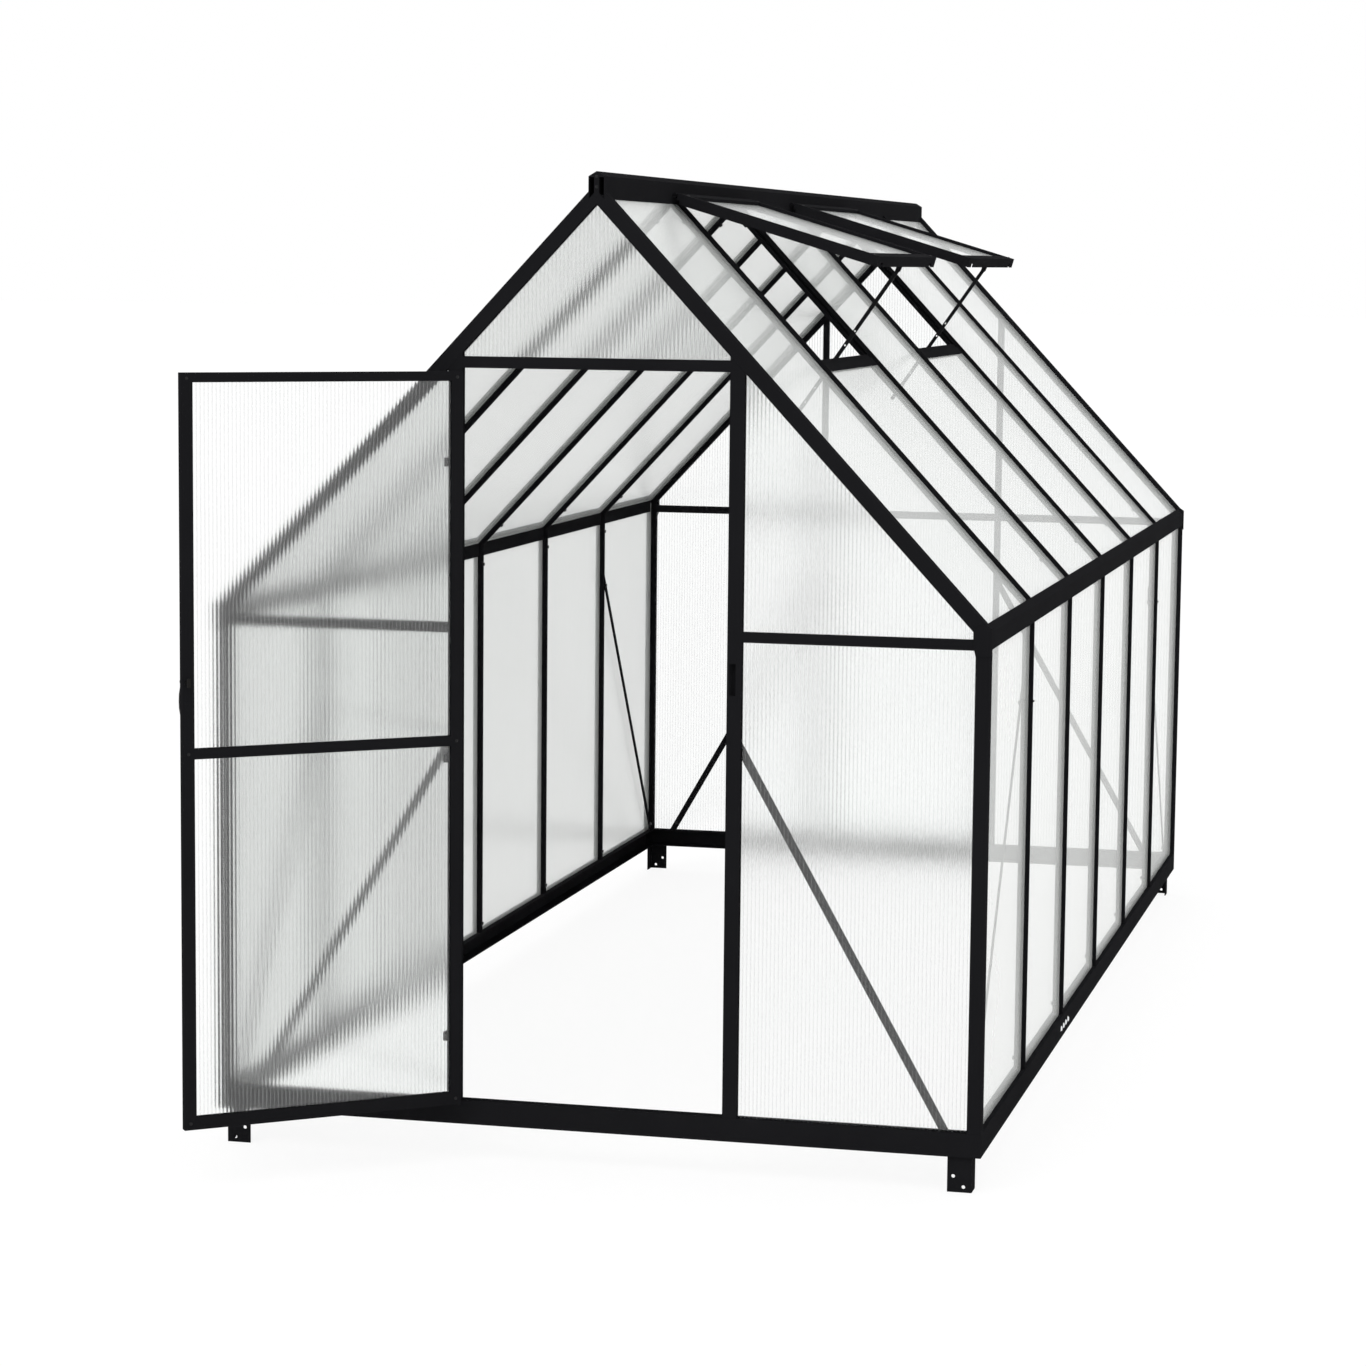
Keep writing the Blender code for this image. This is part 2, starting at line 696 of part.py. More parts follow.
# Door end: two posts, header, mid rails, braces, keeper slot and hinge arms in one welded unit
def build_door_surround():
    y, inward = ENDS["front"]
    surround = make_part("door_surround", upright("front", -DOOR_POST_X, DOOR_POST_W, POST_FOOT, HEADER_Z + HEADER_W), BLACK)
    post = make_tool("door_post_right", upright("front", DOOR_POST_X, DOOR_POST_W, POST_FOOT, HEADER_Z + HEADER_W))
    header = make_tool("door_header", crossbar("front", HEADER_Z, HEADER_W, -DOOR_POST_X, DOOR_POST_X))
    join(surround, post, header)
    reach = SIDE_X - POST_INNER - GAP
    low, high = end_range("front", FLANGE_BACK - BRACE_SINK, FLANGE_BACK - BRACE_SINK + BRACE_THICK)
    top = (DOOR_POST_X - FRONT_BRACE_TOP_IN, KNEE_Z - FRONT_BRACE_TOP_DROP)
    stop = DOOR_POST_X - DOOR_POST_W / 2 + BRACE_END_BACK
    outline = brace_outline(SIDE_X - FRONT_BRACE_FOOT_IN, top, stop)
    for sx, side in ((-1, "left"), (1, "right")):
        rail = make_tool("front_rail_" + side, crossbar("front", RAIL_Z, RAIL_W, sx * DOOR_POST_X, sx * reach))
        shape = outline if sx > 0 else mirror_x(outline)
        brace = make_tool("front_brace_" + side, prism(shape, low, high))
        cut(brace, base_cutter("front_floor_" + side))
        join(surround, rail, brace)
    cut(surround, rafter_cutter("front_rafter_line", "front"))
    slot_x = PIN_X - LEAF_EDGE + LEAF_W - HANDLE_EDGE
    slot = box(
        (slot_x - SLOT_W / 2, y - 0.005, HANDLE_Z - SLOT_BELOW),
        (slot_x + SLOT_W / 2, y + inward * SLOT_FRONT, HANDLE_Z + SLOT_ABOVE),
    )
    cut(surround, make_tool("keeper_slot", slot))
    left = PIN_X - LEAF_EDGE - ARM_GAP
    for number, z in enumerate(HINGE_Z):
        label = str(number + 1)
        outline = [
            (left - ARM_THICK, y + WALL / 2),
            (left - ARM_THICK, PIN_Y - KNUCKLE_R),
            (PIN_X, PIN_Y - KNUCKLE_R),
            (PIN_X, PIN_Y + KNUCKLE_R),
            (left, PIN_Y + KNUCKLE_R),
            (left, y + WALL / 2),
        ]
        arm = make_tool("hinge_arm_" + label, prism(outline, z - KNUCKLE_H, z, "XY"))
        eye = make_tool("hinge_eye_" + label, rod((PIN_X, PIN_Y, z - KNUCKLE_H / 2), (0, 0, 1), KNUCKLE_R, KNUCKLE_H))
        pin_low = z - KNUCKLE_H / 2
        pin_high = z + KNUCKLE_H
        pin = rod((PIN_X, PIN_Y, (pin_low + pin_high) / 2), (0, 0, 1), PIN_R, pin_high - pin_low)
        join(surround, arm, eye, make_tool("hinge_pin_" + label, pin))


# Back end: two mullions, a rail in three lengths and two braces
def build_back_mullions():
    top = APEX_Z
    frame = make_part("back_mullions", upright("back", -MULLION_X, MULLION_W, POST_FOOT, top), BLACK)
    join(frame, make_tool("mullion_right", upright("back", MULLION_X, MULLION_W, POST_FOOT, top)))
    reach = SIDE_X - POST_INNER - GAP
    join(frame, make_tool("back_rail", crossbar("back", RAIL_Z, RAIL_W, -reach, reach)))
    low, high = end_range("back", FLANGE_BACK - BRACE_SINK, FLANGE_BACK - BRACE_SINK + BRACE_THICK)
    head = (MULLION_X - BACK_BRACE_TOP_IN, KNEE_Z - BACK_BRACE_TOP_DROP)
    stop = MULLION_X - MULLION_W / 2 + BRACE_END_BACK
    outline = brace_outline(SIDE_X - BACK_BRACE_FOOT_IN, head, stop)
    for sx, side in ((-1, "left"), (1, "right")):
        brace = make_tool("back_brace_" + side, prism(outline if sx > 0 else mirror_x(outline), low, high))
        cut(brace, base_cutter("back_floor_" + side))
        join(frame, brace)
    cut(frame, rafter_cutter("back_rafter_line", "back"))


# Glazing of the side walls and the roof
def build_side_glazing():
    vent_bays = [bay for label, bay in VENTS]
    head = (RIDGE_WEB_HALF + GAP + PANEL * SIN) / COS
    foot = ROOF_RUN - ROOF_PANEL_FOOT
    for bay in range(1, BAY_COUNT + 1):
        low = (bay - 1) * BAY_PITCH + BAR_PANEL_EDGE
        high = bay * BAY_PITCH - BAR_PANEL_EDGE
        for sx, side in ((-1, "left"), (1, "right")):
            label = side + "_" + str(bay)
            a = sx * SIDE_X
            b = sx * (SIDE_X - PANEL)
            wall = box((min(a, b), low, PANEL_FOOT), (max(a, b), high, KNEE_Z - EAVE_SHELF))
            make_part("wall_panel_" + label, wall, CLEAR)
            top = SILL_S + SHORT_PANEL_LAP if sx > 0 and bay in vent_bays else head
            outline = [
                roof_point(foot, 0, sx),
                roof_point(foot, -PANEL, sx),
                roof_point(top, -PANEL, sx),
                roof_point(top, 0, sx),
            ]
            make_part("roof_panel_" + label, prism(outline, low, high), CLEAR)


# Glazing of the two end walls
def build_end_glazing():
    side_edge = SIDE_X - POST_INNER + ENGAGE
    slope_out = -POST_INNER + ENGAGE
    rail_under = RAIL_Z - RAIL_W / 2 + ENGAGE - WALL
    rail_over = RAIL_Z + RAIL_W / 2 - ENGAGE + WALL
    post_edge = DOOR_POST_X + DOOR_POST_W / 2 - ENGAGE
    mullion_out = MULLION_X + MULLION_W / 2 - ENGAGE * 0.65
    mullion_in = MULLION_X - MULLION_W / 2 + ENGAGE * 0.65
    header_top = HEADER_Z + HEADER_W / 2 - ENGAGE + WALL
    gable_edge = DOOR_POST_X - WEB_HALF - GABLE_EDGE_GAP

    def add(name, end, outline):
        low, high = end_range(end, INSET, INSET + PANEL)
        make_part(name, prism(outline, low, high), CLEAR)

    for end, inner in (("front", post_edge), ("back", mullion_out)):
        lower = [(inner, PANEL_FOOT), (side_edge, PANEL_FOOT), (side_edge, rail_under), (inner, rail_under)]
        upper = [
            (inner, rail_over),
            (side_edge, rail_over),
            (side_edge, roof_z(side_edge, slope_out)),
            (inner, roof_z(inner, slope_out)),
        ]
        for sx, side in ((-1, "left"), (1, "right")):
            flip = (lambda shape: shape) if sx > 0 else mirror_x
            add(end + "_panel_" + side + "_lower", end, flip(lower))
            add(end + "_panel_" + side + "_upper", end, flip(upper))
    gable = [
        (gable_edge, header_top),
        (gable_edge, roof_z(gable_edge, slope_out)),
        (0, roof_z(0, slope_out)),
        (-gable_edge, roof_z(gable_edge, slope_out)),
        (-gable_edge, header_top),
    ]
    add("front_panel_gable", "front", gable)
    middle = [(-mullion_in, PANEL_FOOT), (mullion_in, PANEL_FOOT), (mullion_in, rail_under), (-mullion_in, rail_under)]
    add("back_panel_mid_lower", "back", middle)
    middle = [
        (-mullion_in, rail_over),
        (mullion_in, rail_over),
        (mullion_in, roof_z(mullion_in, slope_out)),
        (0, roof_z(0, slope_out)),
        (-mullion_in, roof_z(mullion_in, slope_out)),
    ]
    add("back_panel_mid_upper", "back", middle)


# Door leaf: built shut, with its hinge pin on the parent's Z axis
def leaf_side(width):
    """Door stile or rail: distance in from the leaf's edge, and depth behind the hinge pin."""
    near = LEAF_FACE
    far = LEAF_FACE + LEAF_THICK
    mid = (near + far) / 2
    slot = PANEL / 2 + GAP
    return [
        (0, near),
        (width, near),
        (width, mid - slot),
        (width - GROOVE, mid - slot),
        (width - GROOVE, mid + slot),
        (width, mid + slot),
        (width, far),
        (0, far),
    ]


def ring(rect, sides, place):
    """A frame of four unlike sides, mitred where they meet; each side is a section of equal point count."""
    (a0, b0), (a1, b1) = rect
    left, right, bottom, top = sides
    corners = [
        (a0, b0, 1, 1, left, bottom),
        (a1, b0, -1, 1, right, bottom),
        (a1, b1, -1, -1, right, top),
        (a0, b1, 1, -1, left, top),
    ]
    bm = bmesh.new()
    rows = []
    for a, b, sa, sb, upright_side, level_side in corners:
        row = []
        for (across, depth), (other, same) in zip(upright_side, level_side):
            row.append(bm.verts.new(place(a + sa * across, depth, b + sb * other)))
        rows.append(row)
    count = len(left)
    for index in range(4):
        here = rows[index]
        there = rows[(index + 1) % 4]
        for k in range(count):
            j = (k + 1) % count
            bm.faces.new((here[k], here[j], there[j], there[k]))
    return bm


def build_door():
    place = Matrix.Translation((PIN_X, PIN_Y, 0)) @ Matrix.Rotation(math.radians(-DOOR_OPEN_DEG), 4, "Z")
    hinge = make_pivot("door_hinge", place)
    x0 = -LEAF_EDGE
    x1 = LEAF_W - LEAF_EDGE
    far = LEAF_FACE + LEAF_THICK
    mid = (LEAF_FACE + far) / 2
    rect = ((x0, LEAF_BOTTOM), (x1, LEAF_TOP))
    sides = [leaf_side(width) for width in (STILE_W, STILE_W, BOTTOM_RAIL_W, TOP_RAIL_W)]
    frame = make_part("door_frame", ring(rect, sides, lambda x, y, z: (x, y, z)), BLACK, hinge)
    half = DOOR_RAIL_W / 2
    slot = PANEL / 2 + GAP
    right = [(half, LEAF_FACE), (half, mid - slot), (half - GROOVE, mid - slot), (half - GROOVE, mid + slot), (half, mid + slot), (half, far)]
    section = right + [(-a, b) for a, b in reversed(right)]
    inset = STILE_W - GROOVE - 0.001
    stations = [((x0 + inset, 0, DOOR_RAIL_Z), (0, 0, 1), (0, 1, 0)), ((x1 - inset, 0, DOOR_RAIL_Z), (0, 0, 1), (0, 1, 0))]
    join(frame, make_tool("door_mid_rail", sweep(section, stations), hinge))
    for number, z in enumerate(HINGE_Z):
        label = str(number + 1)
        low = z + GAP
        high = z + KNUCKLE_H
        tab = box((-KNUCKLE_R * 0.4, KNUCKLE_R * 0.5, low), (STILE_W * 0.55, LEAF_FACE + 0.001, high))
        knuckle = rod((0, 0, (low + high) / 2), (0, 0, 1), KNUCKLE_R, high - low)
        bore = rod((0, 0, (low + high) / 2), (0, 0, 1), PIN_R + GAP, KNUCKLE_H * 2)
        join(frame, make_tool("leaf_tab_" + label, tab, hinge), make_tool("leaf_knuckle_" + label, knuckle, hinge))
        cut(frame, make_tool("leaf_bore_" + label, bore, hinge))
    latch_x = x1 - HANDLE_EDGE
    hole = rod((latch_x, mid, HANDLE_Z), (0, 1, 0), SPINDLE_R + GAP, LEAF_THICK * 2)
    cut(frame, make_tool("spindle_hole", hole, hinge))

    edge = STILE_W - GROOVE + 2 * GAP
    low_y = mid - PANEL / 2
    high_y = mid + PANEL / 2
    rail_gap = half - GROOVE + 2 * GAP
    bottom = LEAF_BOTTOM + BOTTOM_RAIL_W - GROOVE + 2 * GAP
    top = LEAF_TOP - TOP_RAIL_W + GROOVE - 2 * GAP
    lower = box((x0 + edge, low_y, bottom), (x1 - edge, high_y, DOOR_RAIL_Z - rail_gap))
    upper = box((x0 + edge, low_y, DOOR_RAIL_Z + rail_gap), (x1 - edge, high_y, top))
    make_part("door_panel_lower", lower, CLEAR, hinge)
    make_part("door_panel_upper", upper, CLEAR, hinge)
    build_handle(hinge, latch_x, far)


# Handle: lever outside, spindle through the stile, cam inside
def build_handle(hinge, latch_x, far):
    pivot = make_pivot("handle_pivot", Matrix.Translation((latch_x, 0, HANDLE_Z)), hinge)
    face = LEAF_FACE - GAP
    r = HANDLE_BOSS_R
    drop = LEVER_DROP
    proud = LEVER_PROUD
    lever = [
        (face - r * 0.4, r * 0.6),
        (face - r * 1.3, r * 0.6),
        (face - r * 1.5, -r),
        (face - proud - r * 0.6, -drop * 0.34),
        (face - proud - r * 0.8, -drop * 0.52),
        (face - proud - r * 0.6, -drop * 0.70),
        (face - r * 1.3, -drop * 0.94),
        (face - r * 0.7, -drop),
        (face - r * 0.4, -drop * 0.94),
        (face - proud, -drop * 0.66),
        (face - proud - r * 0.2, -drop * 0.52),
        (face - proud, -drop * 0.38),
        (face - r * 0.8, -r * 1.1),
        (face - r * 0.4, -r * 0.6),
    ]
    handle = make_part("door_handle", prism(lever, -LEVER_W / 2, LEVER_W / 2, "YZ"), BLACK, pivot)
    boss_out = face - r
    boss = rod((0, (face + boss_out) / 2, 0), (0, 1, 0), r, face - boss_out, 24)
    keeper = -PIN_Y - END_OVERHANG
    cam_low = keeper + WALL + CAM_BEHIND
    cam_high = cam_low + CAM_THICK
    spindle = rod((0, (boss_out + r / 2 + cam_high - GAP) / 2, 0), (0, 1, 0), SPINDLE_R, cam_high - GAP - boss_out - r / 2, 16)
    cam = box((-CAM_W / 2, cam_low, -CAM_LENGTH / 2), (CAM_W / 2, cam_high, CAM_LENGTH / 2))
    join(
        handle,
        make_tool("handle_boss", boss, pivot),
        make_tool("handle_spindle", spindle, pivot),
        make_tool("handle_cam", cam, pivot),
    )


# Roof vents: built shut, with the sash hinge on the parent's Y axis, X down the slope and Z out of the roof
def hinge_out():
    """Distance of the vent hinge out of the panel's face."""
    return HINGE_X * SIN + HINGE_RISE * COS


def sash_side():
    """Sash rail: distance in from the sash's edge, and height over the hinge axis."""
    low = RIB_TOP + SASH_OVER_RIB - hinge_out()
    slot_low = low + WALL * 0.85
    slot_high = slot_low + PANEL + 2 * GAP
    return [
        (0, low),
        (SASH_RAIL, low),
        (SASH_RAIL, slot_low),
        (SASH_RAIL - GROOVE, slot_low),
        (SASH_RAIL - GROOVE, slot_high),
        (SASH_RAIL, slot_high),
        (SASH_RAIL, SASH_ABOVE),
        (0, SASH_ABOVE),
    ]


def build_vent(label, bay):
    mid = (bay - 0.5) * BAY_PITCH
    half = SASH_W / 2
    out = hinge_out()
    low = RIB_TOP + SASH_OVER_RIB - out
    opened = math.radians(VENT_OPEN_DEG)
    place = Matrix.Translation((HINGE_X, mid, APEX_Z + HINGE_RISE)) @ Matrix.Rotation(SLOPE - opened, 4, "Y")
    hinge = make_pivot("vent_hinge_" + label, place)
    side = sash_side()
    rect = ((SASH_START, -half), (SASH_END, half))
    sash = make_part("vent_sash_" + label, ring(rect, [side] * 4, lambda x, z, y: (x, y, z)), BLACK, hinge)

    skirt_low = SKIRT_CLEAR - out
    skirt = [
        (SKIRT_START, -half),
        (SASH_END, -half),
        (SASH_END, half),
        (SKIRT_START, half),
        (SKIRT_START, half - WALL),
        (SASH_END - WALL, half - WALL),
        (SASH_END - WALL, -half + WALL),
        (SKIRT_START, -half + WALL),
    ]
    join(sash, make_tool("vent_skirt_" + label, prism(skirt, skirt_low, low + WALL / 2, "XY"), hinge))
    bead = rod((0, 0, 0), (0, 1, 0), BEAD_R, SASH_W - 2 * WALL, 12)
    neck = box((0, -half + WALL, -NECK / 2), (SASH_START + WALL, half - WALL, NECK / 2))
    join(sash, make_tool("vent_neck_" + label, neck, hinge), make_tool("vent_bead_" + label, bead, hinge))
    for sy, name in ((-1, "near"), (1, "far")):
        y = sy * BAY_PITCH / 2
        notch = box(
            (SASH_END - WALL * 1.5, y - NOTCH_HALF, skirt_low - 0.01),
            (SASH_END + 0.01, y + NOTCH_HALF, low + GAP),
        )
        cut(sash, make_tool("vent_notch_" + label + "_" + name, notch, hinge))

    lug_low = STAY_THICK / 2 + GAP
    lug_high = lug_low + LUG_THICK
    r = STAY_EYE_R
    lug = [(STAY_S + r * 1.4, low + WALL / 2), (STAY_S - r * 1.4, low + WALL / 2)]
    lug += arc((STAY_S, STAY_N), r, 180, 360, 8)
    pin_low = -STAY_THICK / 2 - GAP - WALL
    pin = rod((STAY_S, (pin_low + lug_high) / 2, STAY_N), (0, 1, 0), STAY_PIN_R, lug_high - pin_low, 12)
    head_mid = pin_low + WALL / 2
    head = rod((STAY_S, head_mid, STAY_N), (0, 1, 0), STAY_PIN_R * 1.8, WALL, 12)
    join(
        sash,
        make_tool("stay_lug_" + label, prism(lug, lug_low, lug_high), hinge),
        make_tool("stay_pin_" + label, pin, hinge),
        make_tool("stay_pin_head_" + label, head, hinge),
    )

    slot = low + WALL * 0.85
    edge = SASH_RAIL - GROOVE + 2 * GAP
    pane = box((SASH_START + edge, -half + edge, slot + GAP), (SASH_END - edge, half - edge, slot + GAP + PANEL))
    make_part("vent_panel_" + label, pane, CLEAR, hinge)
    build_stay(label, hinge, opened)
    build_sill(label, bay, mid, opened)


def build_stay(label, hinge, opened):
    turn = math.radians(STAY_OFF_SLOPE_DEG) + opened
    place = Matrix.Translation((STAY_S, 0, STAY_N)) @ Matrix.Rotation(turn, 4, "Y")
    pivot = make_pivot("stay_pivot_" + label, place, hinge)
    half = STAY_W / 2
    outline = arc((0, 0), STAY_EYE_R, 60, 300, 10)
    outline += [(STAY_EYE_R, -half), (STAY_LENGTH - half, -half)]
    outline += arc((STAY_LENGTH - half, 0), half, -60, 60, 6)
    outline += [(STAY_LENGTH - half, half), (STAY_EYE_R, half)]
    stay = make_part("vent_stay_" + label, prism(outline, -STAY_THICK / 2, STAY_THICK / 2), BLACK, pivot)
    eye = rod((0, 0, 0), (0, 1, 0), STAY_PIN_R + GAP, STAY_THICK * 4, 12)
    cut(stay, make_tool("stay_eye_" + label, eye, pivot))
    for step in (-2, -1, 0, 1, 2, 3):
        along = PEG_ALONG + step * STAY_HOLE_PITCH
        hole = rod((along, 0, 0), (0, 1, 0), STAY_HOLE_R, STAY_THICK * 4, 10)
        cut(stay, make_tool("stay_hole_" + label, hole, pivot))


def build_sill(label, bay, mid, opened):
    """Sill under the vent's free end, with the plate and peg that hold the stay."""
    low = (bay - 1) * BAY_PITCH + LEG_HALF + GAP
    high = bay * BAY_PITCH - LEG_HALF - GAP
    back = -PANEL - GAP
    section = [
        (0, -SILL_DROP),
        (WALL, -SILL_DROP),
        (WALL, back - WALL),
        (SILL_W, back - WALL),
        (SILL_W, back),
        (SILL_STEP + WALL, back),
        (SILL_STEP + WALL, GAP),
        (SILL_W, GAP),
        (SILL_W, GAP + WALL),
        (SILL_STEP, GAP + WALL),
        (SILL_STEP, -GAP),
        (0, -GAP),
    ]
    outline = [roof_point(SILL_S + s, n) for s, n in section]
    sill = make_part("vent_sill_" + label, prism(outline, low, high), BLACK)

    sash_angle = SLOPE - opened
    pivot_x = HINGE_X + STAY_S * math.cos(sash_angle) + STAY_N * math.sin(sash_angle)
    pivot_z = APEX_Z + HINGE_RISE - STAY_S * math.sin(sash_angle) + STAY_N * math.cos(sash_angle)
    stay_angle = SLOPE + math.radians(STAY_OFF_SLOPE_DEG)
    peg_x = pivot_x + PEG_ALONG * math.cos(stay_angle)
    peg_z = pivot_z - PEG_ALONG * math.sin(stay_angle)
    seat_a = roof_point(SILL_S + WALL * 0.75, -SILL_DROP * 0.35)
    seat_b = roof_point(SILL_S + WALL * 0.75, -SILL_DROP)
    plate_high = mid - STAY_THICK / 2 - PEG_PLATE_AWAY
    plate_low = plate_high - PEG_PLATE_THICK
    r = PEG_R * 2.4
    plate = [seat_a] + arc((peg_x, peg_z), r, 90, 270, 8) + [seat_b]
    peg_high = mid - STAY_THICK / 2 - GAP
    peg = rod((peg_x, (plate_low + peg_high) / 2, peg_z), (0, 1, 0), PEG_R, peg_high - plate_low, 12)
    join(
        sill,
        make_tool("peg_plate_" + label, prism(plate, plate_low, plate_high)),
        make_tool("peg_" + label, peg),
    )


build_base()
build_beams()
for end_name in ENDS:
    build_end_frame(end_name)
for bar_index in range(1, BAY_COUNT):
    build_bay_frame(bar_index)
build_door_surround()
build_back_mullions()
build_side_glazing()
build_end_glazing()
build_door()
for vent_label, vent_bay in VENTS:
    build_vent(vent_label, vent_bay)
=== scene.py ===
# %% [markdown]
# # A walk-in greenhouse with fluted clear panels
# This notebook dresses a finished model. The extrusions, panels, door and roof vents already exist
# as exact solids, so nothing here moves or reshapes them. What is added is what the eye needs:
# powder coating on the aluminium, the flutes inside the clear sheets, and the small fasteners.
# The frame is loaded first because every later piece takes its place from it.

import json
import math

import bpy
from mathutils import Matrix, Vector
from mathutils.bvhtree import BVHTree

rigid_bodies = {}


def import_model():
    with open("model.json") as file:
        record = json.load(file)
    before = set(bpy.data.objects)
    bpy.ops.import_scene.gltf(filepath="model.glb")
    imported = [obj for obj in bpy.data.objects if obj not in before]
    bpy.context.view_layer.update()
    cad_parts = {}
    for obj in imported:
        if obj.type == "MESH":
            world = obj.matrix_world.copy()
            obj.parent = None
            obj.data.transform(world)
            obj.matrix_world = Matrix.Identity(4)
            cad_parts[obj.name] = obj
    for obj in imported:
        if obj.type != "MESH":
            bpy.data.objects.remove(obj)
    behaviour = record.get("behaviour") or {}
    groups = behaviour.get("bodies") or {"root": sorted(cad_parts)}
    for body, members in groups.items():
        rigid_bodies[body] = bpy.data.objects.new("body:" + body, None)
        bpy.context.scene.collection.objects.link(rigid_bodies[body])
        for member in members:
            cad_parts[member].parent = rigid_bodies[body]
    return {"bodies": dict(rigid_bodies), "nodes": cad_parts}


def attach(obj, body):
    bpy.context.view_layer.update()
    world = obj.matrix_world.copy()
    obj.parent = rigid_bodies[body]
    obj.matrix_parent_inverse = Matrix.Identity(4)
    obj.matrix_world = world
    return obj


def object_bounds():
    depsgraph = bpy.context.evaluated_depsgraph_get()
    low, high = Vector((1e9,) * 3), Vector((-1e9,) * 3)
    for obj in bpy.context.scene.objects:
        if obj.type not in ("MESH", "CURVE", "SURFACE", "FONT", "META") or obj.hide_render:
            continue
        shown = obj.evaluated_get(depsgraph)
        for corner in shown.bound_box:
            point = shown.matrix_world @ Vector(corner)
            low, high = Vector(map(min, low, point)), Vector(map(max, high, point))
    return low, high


MM = 0.001

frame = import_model()
nodes = frame["nodes"]
cad_low, cad_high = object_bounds()
print("size in mm:", [round((b - a) / MM, 1) for a, b in zip(cad_low, cad_high)])

# %% [markdown]
# ## Small helpers
# Colours are easiest to judge as the hex codes that a colour picker shows, but Blender's shaders
# work in linear light, so one function converts them. Node trees could be drawn by hand or built
# call by call. A single function that adds a node, sets it and links it keeps each tree readable.
# Every material starts from an empty tree, so that nothing in it is there by default.


# %% Colour, node and material helpers
def colour(code):
    """Turn an sRGB hex code into the linear RGBA that shaders expect."""
    linear = []
    for i in (1, 3, 5):
        c = int(code[i : i + 2], 16) / 255
        linear.append(c / 12.92 if c <= 0.04045 else ((c + 0.055) / 1.055) ** 2.4)
    return (*linear, 1.0)


def add(tree, kind, inputs=None, **settings):
    """Add a node, set its options, then fill or link its inputs."""
    node = tree.nodes.new(kind)
    for name, value in settings.items():
        setattr(node, name, value)
    for key, value in (inputs or {}).items():
        if isinstance(value, bpy.types.NodeSocket):
            tree.links.new(value, node.inputs[key])
        else:
            node.inputs[key].default_value = value
    return node


def blank_material(name):
    """A material with an empty node tree."""
    material = bpy.data.materials.new(name)
    material.use_nodes = True
    material.node_tree.nodes.clear()
    return material, material.node_tree


print("mid grey #808080 in linear light:", round(colour("#808080")[0], 3))

# %% [markdown]
# ## Camera
# A view is matched by three angles, a place and a focal length. Dragging the camera until it looks
# right never quite lands, so these numbers come from a fit of the known corners of the house. The
# focal length is in pixels of the square picture, and the lens in millimetres follows from it.

# %% Camera
IMAGE_PX = 1366
SENSOR_MM = 36.0
FOCAL_PX = 3634.32
CAMERA_PLACE = Vector((2.1985, -8.2047, 2.0622))
YAW, TILT, ROLL = (math.radians(a) for a in (13.6046, -6.6133, 0.5642))
FARTHEST_SEEN = 400

forward = Vector((-math.sin(YAW) * math.cos(TILT), math.cos(YAW) * math.cos(TILT), math.sin(TILT)))
level = Vector((math.cos(YAW), math.sin(YAW), 0))
upright = level.cross(forward)
right = level * math.cos(ROLL) + upright * math.sin(ROLL)
up = upright * math.cos(ROLL) - level * math.sin(ROLL)

lens = bpy.data.cameras.new("studio_camera")
lens.sensor_width = SENSOR_MM
lens.lens = FOCAL_PX / IMAGE_PX * SENSOR_MM
lens.clip_end = FARTHEST_SEEN
camera = bpy.data.objects.new("studio_camera", lens)
turn = Matrix((right, up, -forward)).transposed().to_4x4()
camera.matrix_world = Matrix.Translation(CAMERA_PLACE) @ turn
bpy.context.scene.collection.objects.link(camera)
bpy.context.scene.camera = camera
print("lens in mm:", round(lens.lens, 2))

# %% [markdown]
# ## A white studio
# Product pictures of glazed things stand on seamless white paper. A bright lamp could burn the
# background out, but it would burn the house out too. Instead the world and the floor answer what
# the camera, mirrors and clear panels see with plain white, and light the house at a plain level.


# %% What the eye sees
def seen_by_eye(tree):
    """A socket that is 1 for rays from the camera, from mirrors and through clear things."""
    path = add(tree, "ShaderNodeLightPath").outputs
    seen = path["Is Camera Ray"]
    for kind in ("Is Glossy Ray", "Is Transmission Ray"):
        seen = add(tree, "ShaderNodeMath", {0: seen, 1: path[kind]}, operation="MAXIMUM").outputs[0]
    return seen


# %% World
SKY_LEVEL = 1.00
WHITE = colour("#FFFFFF")

scene = bpy.context.scene
scene.view_settings.view_transform = "Standard"
world = bpy.data.worlds.new("white_studio")
scene.world = world
world.use_nodes = True
sky = world.node_tree
sky.nodes.clear()
lighting = add(sky, "ShaderNodeBackground", {"Color": WHITE, "Strength": SKY_LEVEL})
paper = add(sky, "ShaderNodeBackground", {"Color": WHITE, "Strength": 1.0})
choice = add(sky, "ShaderNodeMixShader", {0: seen_by_eye(sky), 1: lighting.outputs[0], 2: paper.outputs[0]})
add(sky, "ShaderNodeOutputWorld", {"Surface": choice.outputs[0]})
print("sky level:", SKY_LEVEL)

# %% [markdown]
# ## A wide sun
# The key light of a studio is a large soft box. An area lamp could stand for it, but it would grow
# dim along a house of four metres. A sun lamp lights both ends alike, and its wide angle blurs the
# shadow as the soft box does. From the front and the upper left it gives each bar a lit side.

# %% Sun
SUN_LEVEL = 0.70
SUN_WIDTH = math.radians(40)
SUN_FROM = Vector((-0.20, -0.70, 1.0))

sun = bpy.data.lights.new("soft_sun", "SUN")
sun.energy = SUN_LEVEL
sun.angle = SUN_WIDTH
sun_object = bpy.data.objects.new("soft_sun", sun)
sun_object.rotation_euler = SUN_FROM.to_track_quat("Z", "Y").to_euler()
scene.collection.objects.link(sun_object)
print("sun level:", SUN_LEVEL)

